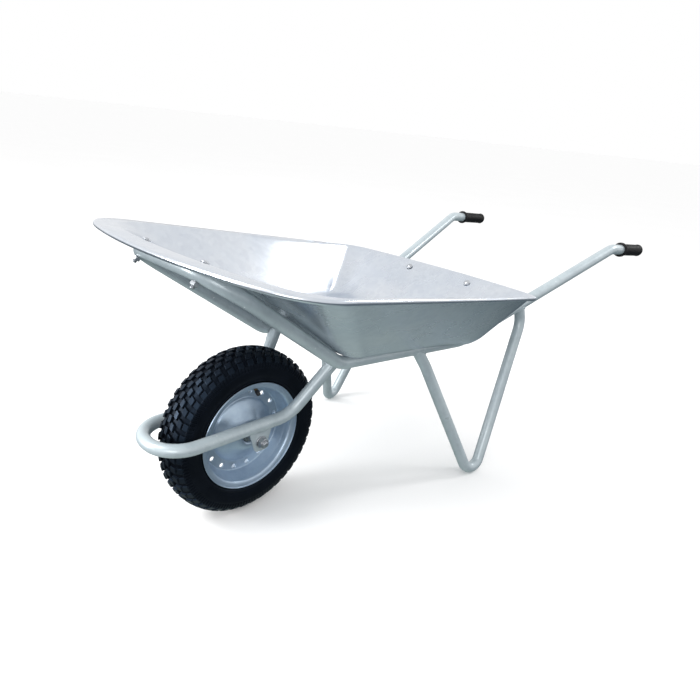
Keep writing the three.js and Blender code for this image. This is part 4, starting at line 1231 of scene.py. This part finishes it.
def hanger(side, hand):
    top = FORK_HEIGHT - AXLE_HEIGHT - FORK_RADIUS + 1.5
    foot = 0.45 * HANGER_HALF_LENGTH
    corners = [
        (-HANGER_HALF_LENGTH, top), (-foot, -HANGER_DROP),
        (foot, -HANGER_DROP), (HANGER_HALF_LENGTH, top),
    ]
    start = HANGER_INNER_FACE if side > 0 else -HANGER_INNER_FACE - HANGER_THICKNESS
    place = Matrix(((0, 0, 1, start), (1, 0, 0, 0), (0, 1, 0, AXLE_HEIGHT), (0, 0, 0, 1)))
    outline = rounded_outline(corners, [1, 9, 9, 1])
    tab = plate(outline, HANGER_THICKNESS, place)
    piece(f"hanger_plate_{hand}", tab, PAINT, "frame", [f"axle_hanger_{hand}"], bevel=0.5)
    weld_height = AXLE_HEIGHT + top - 1.2
    reach = HANGER_HALF_LENGTH - 2
    beads = []
    for face, out in ((0, -1), (HANGER_THICKNESS, 1)):
        ends = [Vector((start + face, y, weld_height)) for y in (-reach, reach)]
        beads.append(straight_weld(*ends, (out, 0, -0.2)))
    piece(f"hanger_welds_{hand}", joined(*beads), PAINT, "frame")


def hub_side(side, hand):
    place = AT_AXLE if side > 0 else AT_AXLE @ Matrix.Rotation(math.pi, 4, "Z")
    face = HANGER_INNER_FACE + HANGER_THICKNESS + FIT_GAP
    inner, outer = BEARING_OUTER_FACE + FIT_GAP, HANGER_INNER_FACE - FIT_GAP
    spacer = washer(inner, outer, AXLE_RADIUS, SLEEVE_RADIUS, place, 0.8)
    hardware(f"hub_spacer_{hand}", spacer, f"axle_spacer_{hand}")
    ring = washer(face, face + AXLE_WASHER_THICKNESS, AXLE_RADIUS, AXLE_WASHER_RADIUS, place)
    hardware(f"hub_washer_{hand}", ring, f"axle_washer_{hand}")
    nut_face = face + AXLE_WASHER_THICKNESS + FIT_GAP
    nut = hexagon(NUT_FLATS, nut_face, nut_face + NUT_HEIGHT, place)
    hardware(f"hub_nut_{hand}", nut, f"axle_nut_{hand}")
    end = nut_face + NUT_HEIGHT + AXLE_OVERHANG
    return threaded(nut_face - 6, end, AXLE_RADIUS, place, AXLE_THREAD_PITCH)


for side, hand in HANDS:
    hanger(side, hand)
ends = [hub_side(side, hand) for side, hand in HANDS]
shaft_end = HANGER_INNER_FACE + HANGER_THICKNESS / 2
shaft = turned(
    [(-shaft_end, 0), (-shaft_end, AXLE_RADIUS), (shaft_end, AXLE_RADIUS), (shaft_end, 0)],
    AT_AXLE, 48, closed=False,
)
hardware("axle_shaft", joined(shaft, *ends), "axle")

# ---- CAD nodes that stay ----


def finish_node(name, finish):
    node = frame["nodes"][name]
    node.data.materials.clear()
    node.data.materials.append(finish)


finish_node("inner_tube", RUBBER)
finish_node("bearing_spacer", ZINC)
for hand in ("right", "left"):
    finish_node(f"bearing_inner_race_{hand}", BEARING)
    finish_node(f"bearing_outer_race_{hand}", BEARING)

# ---- Floor, light and camera ----


def floor():
    finish = Finish("floor", "floor", Specular_IOR_Level=0.1)
    tone = finish.mottle(0.97, 0.98, 1.5, 2)
    roughness = finish.mottle(0.9, 0.95, 3, 2)
    even = finish.bump(finish.noise(200, 2), 0.02, 0.0002)
    mesh = bpy.data.meshes.new("floor")
    sides = ((-1, -1), (1, -1), (1, 1), (-1, 1))
    corners = [(x * FLOOR_REACH, y * FLOOR_REACH, FLOOR_LEVEL) for x, y in sides]
    mesh.from_pydata(corners, [], [(0, 1, 2, 3)])
    mesh.materials.append(finish.done(tone, roughness, even))
    obj = bpy.data.objects.new("floor", mesh)
    scene.collection.objects.link(obj)
    obj.visible_diffuse = False
    obj.visible_glossy = False


def world():
    """Soft white sky with a dim, bluish ground."""
    sky = bpy.data.worlds.new("studio")
    sky.use_nodes = True
    scene.world = sky
    nodes, links = sky.node_tree.nodes, sky.node_tree.links
    place = nodes.new("ShaderNodeTexCoord")
    split = nodes.new("ShaderNodeSeparateXYZ")
    ramp = nodes.new("ShaderNodeValToRGB")
    links.new(place.outputs["Generated"], split.inputs["Vector"])
    level = nodes.new("ShaderNodeMapRange")
    level.inputs["From Min"].default_value = -1
    links.new(split.outputs["Z"], level.inputs["Value"])
    links.new(level.outputs["Result"], ramp.inputs["Fac"])
    fill_ramp(ramp, SKY)
    links.new(ramp.outputs["Color"], nodes["Background"].inputs["Color"])
    nodes["Background"].inputs["Strength"].default_value = 1.0


def area_light(name, place, aim, size, power):
    data = bpy.data.lights.new(name, "AREA")
    data.shape = "RECTANGLE"
    data.size, data.size_y = size
    data.energy = power
    obj = bpy.data.objects.new(name, data)
    obj.location = place
    obj.rotation_mode = "QUATERNION"
    obj.rotation_quaternion = (Vector(aim) - Vector(place)).to_track_quat("-Z", "Y")
    scene.collection.objects.link(obj)


def camera():
    azimuth, elevation, roll = rad(CAMERA_AZIMUTH), rad(CAMERA_ELEVATION), rad(CAMERA_ROLL)
    back = Vector((
        math.sin(azimuth) * math.cos(elevation), -math.cos(azimuth) * math.cos(elevation),
        math.sin(elevation),
    ))
    level = Vector((math.cos(azimuth), math.sin(azimuth), 0))
    above = back.cross(level)
    right = level * math.cos(roll) + above * math.sin(roll)
    up = above * math.cos(roll) - level * math.sin(roll)
    data = bpy.data.cameras.new("camera")
    data.sensor_width = CAMERA_SENSOR
    data.lens = CAMERA_LENS
    data.shift_x, data.shift_y = CAMERA_SHIFT
    obj = bpy.data.objects.new("camera", data)
    turn = Matrix((right, up, back)).transposed().to_4x4()
    obj.matrix_world = Matrix.Translation(CAMERA_PLACE) @ turn
    scene.collection.objects.link(obj)
    scene.camera = obj


floor()
world()
for light, settings in LIGHTS.items():
    area_light(light, *settings)
camera()
scene.view_settings.view_transform = "Standard"
